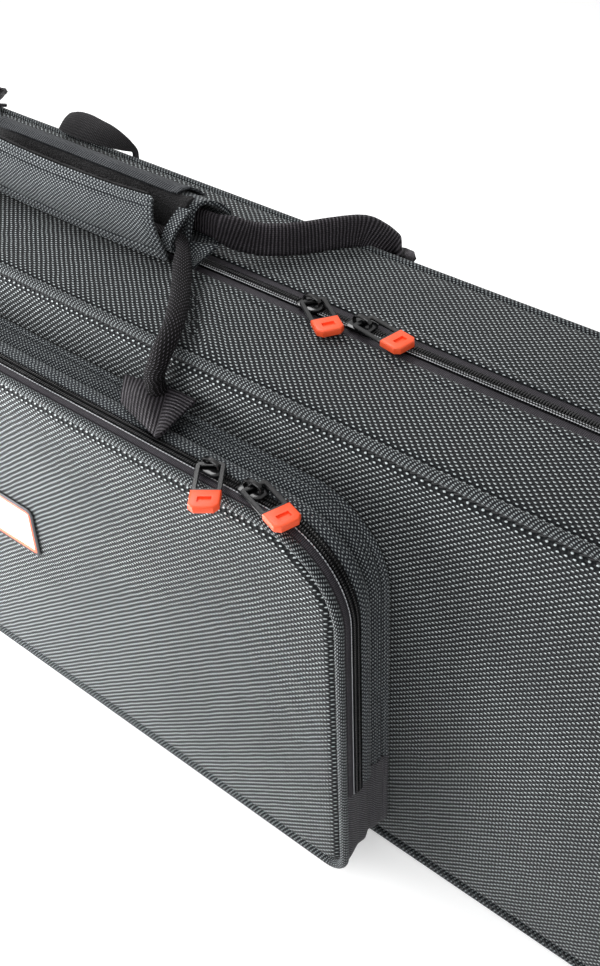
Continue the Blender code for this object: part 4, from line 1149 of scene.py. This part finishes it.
def zip_pull(name, x, y, z, width, yaw):
    """One slider on its zip, and the link and the tip that swing on a pin inside its arch."""
    plate_top, pin_above = 1.5, 1.7
    slider = moved(slider_body(name + "_runner", width), (x, y, z))
    keep(slider, name + "_slider", [name + "_slider"], BLACK_ZINC, angle=40)
    for piece, node, slot, look in (
        (pull_link(name + "_link"), name + "_pull_link", "black_metal", BLACK_ZINC),
        (pull_tip(name + "_tip"), name + "_pull_tip", "orange_rubber", ORANGE_RUBBER),
    ):
        piece.rotation_euler = (0, 0, math.radians(yaw))
        piece.location = (x * mm, y * mm, (z + plate_top + pin_above) * mm)
        pick(piece)
        bpy.ops.object.transform_apply(location=True, rotation=True)
        keep(piece, name + "_pull", [node], look, angle=40)


for name, place in SLIDERS.items():
    zip_pull(name, *place)


# Inside: velour over foam, webbing and moulded fittings

def softened(name, node, width, body, look):
    """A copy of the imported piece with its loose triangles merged, and its edges rounded as padding is."""
    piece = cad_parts[node].copy()
    piece.data = piece.data.copy()
    for key in list(piece.keys()):
        del piece[key]
    piece.parent = None
    bpy.context.scene.collection.objects.link(piece)
    piece.name = piece.data.name = name
    open_mesh(piece)
    bpy.ops.mesh.remove_doubles(threshold=0.01 * mm)
    bpy.ops.mesh.dissolve_limited(angle_limit=math.radians(3))
    bpy.ops.uv.cube_project(cube_size=1.0, correct_aspect=False)
    close_mesh()
    piece.data.uv_layers.active.name = "cloth"
    apply_modifier(piece, "BEVEL", width=width * mm, segments=3,
                   limit_method="ANGLE", angle_limit=math.radians(40))
    return keep(piece, body, [node], look, angle=40)


# How far the edges of padding, webbing and moulded plastic are rounded
PADDED_EDGE, WEBBING_EDGE, MOULDED_EDGE = 2.5, 0.7, 0.8


def inside():
    """The linings, the neck rest and strap, the bows' sleeves and clips, and the board of both shells."""
    for name, node, body in (
        ("base_insert", "base_lining", "base"),
        ("lid_padding", "lid_lining", "lid"),
        ("neck_rest", "neck_cradle", "base"),
    ):
        softened(name, node, PADDED_EDGE, body, PLUSH)
    softened("neck_band", "neck_strap", WEBBING_EDGE, "neck_strap", PLAIN_NYLON)
    for level in ("lower", "upper"):
        softened(level + "_bow_pocket", level + "_bow_sleeve", WEBBING_EDGE, "lid", PLAIN_NYLON)
        softened(level + "_bow_button", level + "_bow_clip", MOULDED_EDGE, level + "_clip",
                 BLACK_ABS)
    for node in ("lid_shell", "base_shell"):
        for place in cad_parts[node].material_slots:
            place.material = SHELL_BOARD


inside()


# Stage, lights and camera

def seen_directly(tree):
    """1 for rays from the camera, in mirrors and through glass, and 0 for those that light the case."""
    path = add(tree, "ShaderNodeLightPath").outputs
    seen = add(tree, MATH, {0: path["Is Camera Ray"], 1: path["Is Glossy Ray"]}, operation="MAXIMUM")
    seen = add(tree, MATH, {0: seen.outputs[0], 1: path["Is Transmission Ray"]}, operation="MAXIMUM")
    return seen.outputs[0]


def stage():
    """A white paper floor that glows a little where it is seen, and a white studio round it."""
    bpy.ops.mesh.primitive_plane_add(size=12, location=(0, 0, -0.0005))
    floor = bpy.context.object
    floor.name = "floor"
    look, tree, shader = new_look("white_paper_sweep")
    shader.inputs["Base Color"].default_value = srgb("#f4f4f4")
    shader.inputs["Roughness"].default_value = 0.9
    faint = add(tree, MATH, {0: seen_directly(tree), 1: 0.35}, operation="MULTIPLY")
    glow = add(tree, "ShaderNodeEmission", {"Color": (1, 1, 1, 1), "Strength": faint.outputs[0]})
    lit = add(tree, "ShaderNodeAddShader", {0: shader.outputs[0], 1: glow.outputs[0]})
    tree.links.new(lit.outputs[0], tree.nodes["Material Output"].inputs["Surface"])
    floor.data.materials.append(look)
    world = bpy.data.worlds.new("studio")
    bpy.context.scene.world = world
    world.use_nodes = True
    tree = world.node_tree
    shader = tree.nodes["Background"]
    shader.inputs["Color"].default_value = (1, 1, 1, 1)
    bright = add(tree, RANGE, {0: seen_directly(tree), 3: 0.38, 4: 1.0})
    tree.links.new(bright.outputs[0], shader.inputs["Strength"])


def softbox(name, place, target, size, power):
    bpy.ops.object.light_add(type="AREA", location=place)
    lamp = bpy.context.object
    lamp.name = name
    lamp.data.shape = "RECTANGLE"
    lamp.data.size, lamp.data.size_y = size
    lamp.data.energy = power
    lamp.rotation_euler = (Vector(target) - Vector(place)).to_track_quat("-Z", "Y").to_euler()


def camera():
    bpy.ops.object.camera_add(location=(0.4888, -0.3609, 0.5891))
    eye = bpy.context.object
    looking_down, turned = 34.315, 37.105
    eye.rotation_euler = (math.radians(90 - looking_down), 0, math.radians(turned))
    eye.data.lens = 45.0
    eye.data.sensor_width = 36
    eye.data.shift_x = -0.0778
    eye.data.shift_y = -0.1436
    eye.data.clip_start = 0.01
    bpy.context.scene.camera = eye


stage()
softbox("key", (-0.3, -0.4, 0.16), (-0.02, -0.1, 0.08), size=(0.35, 0.3), power=6.5)
softbox("floor_wash", (0.1, -0.9, 1.2), (0.15, -0.6, 0), size=(1.0, 0.8), power=8)
softbox("top", (-0.7, 0.25, 1.35), (0.1, 0, 0.2), size=(0.8, 0.6), power=14)
softbox("fill", (1.6, -0.6, 0.9), (0, 0, 0.1), size=(0.8, 0.8), power=3)
camera()
bpy.context.scene.view_settings.view_transform = "Standard"

for guide in GUIDES:
    bpy.data.objects.remove(guide)
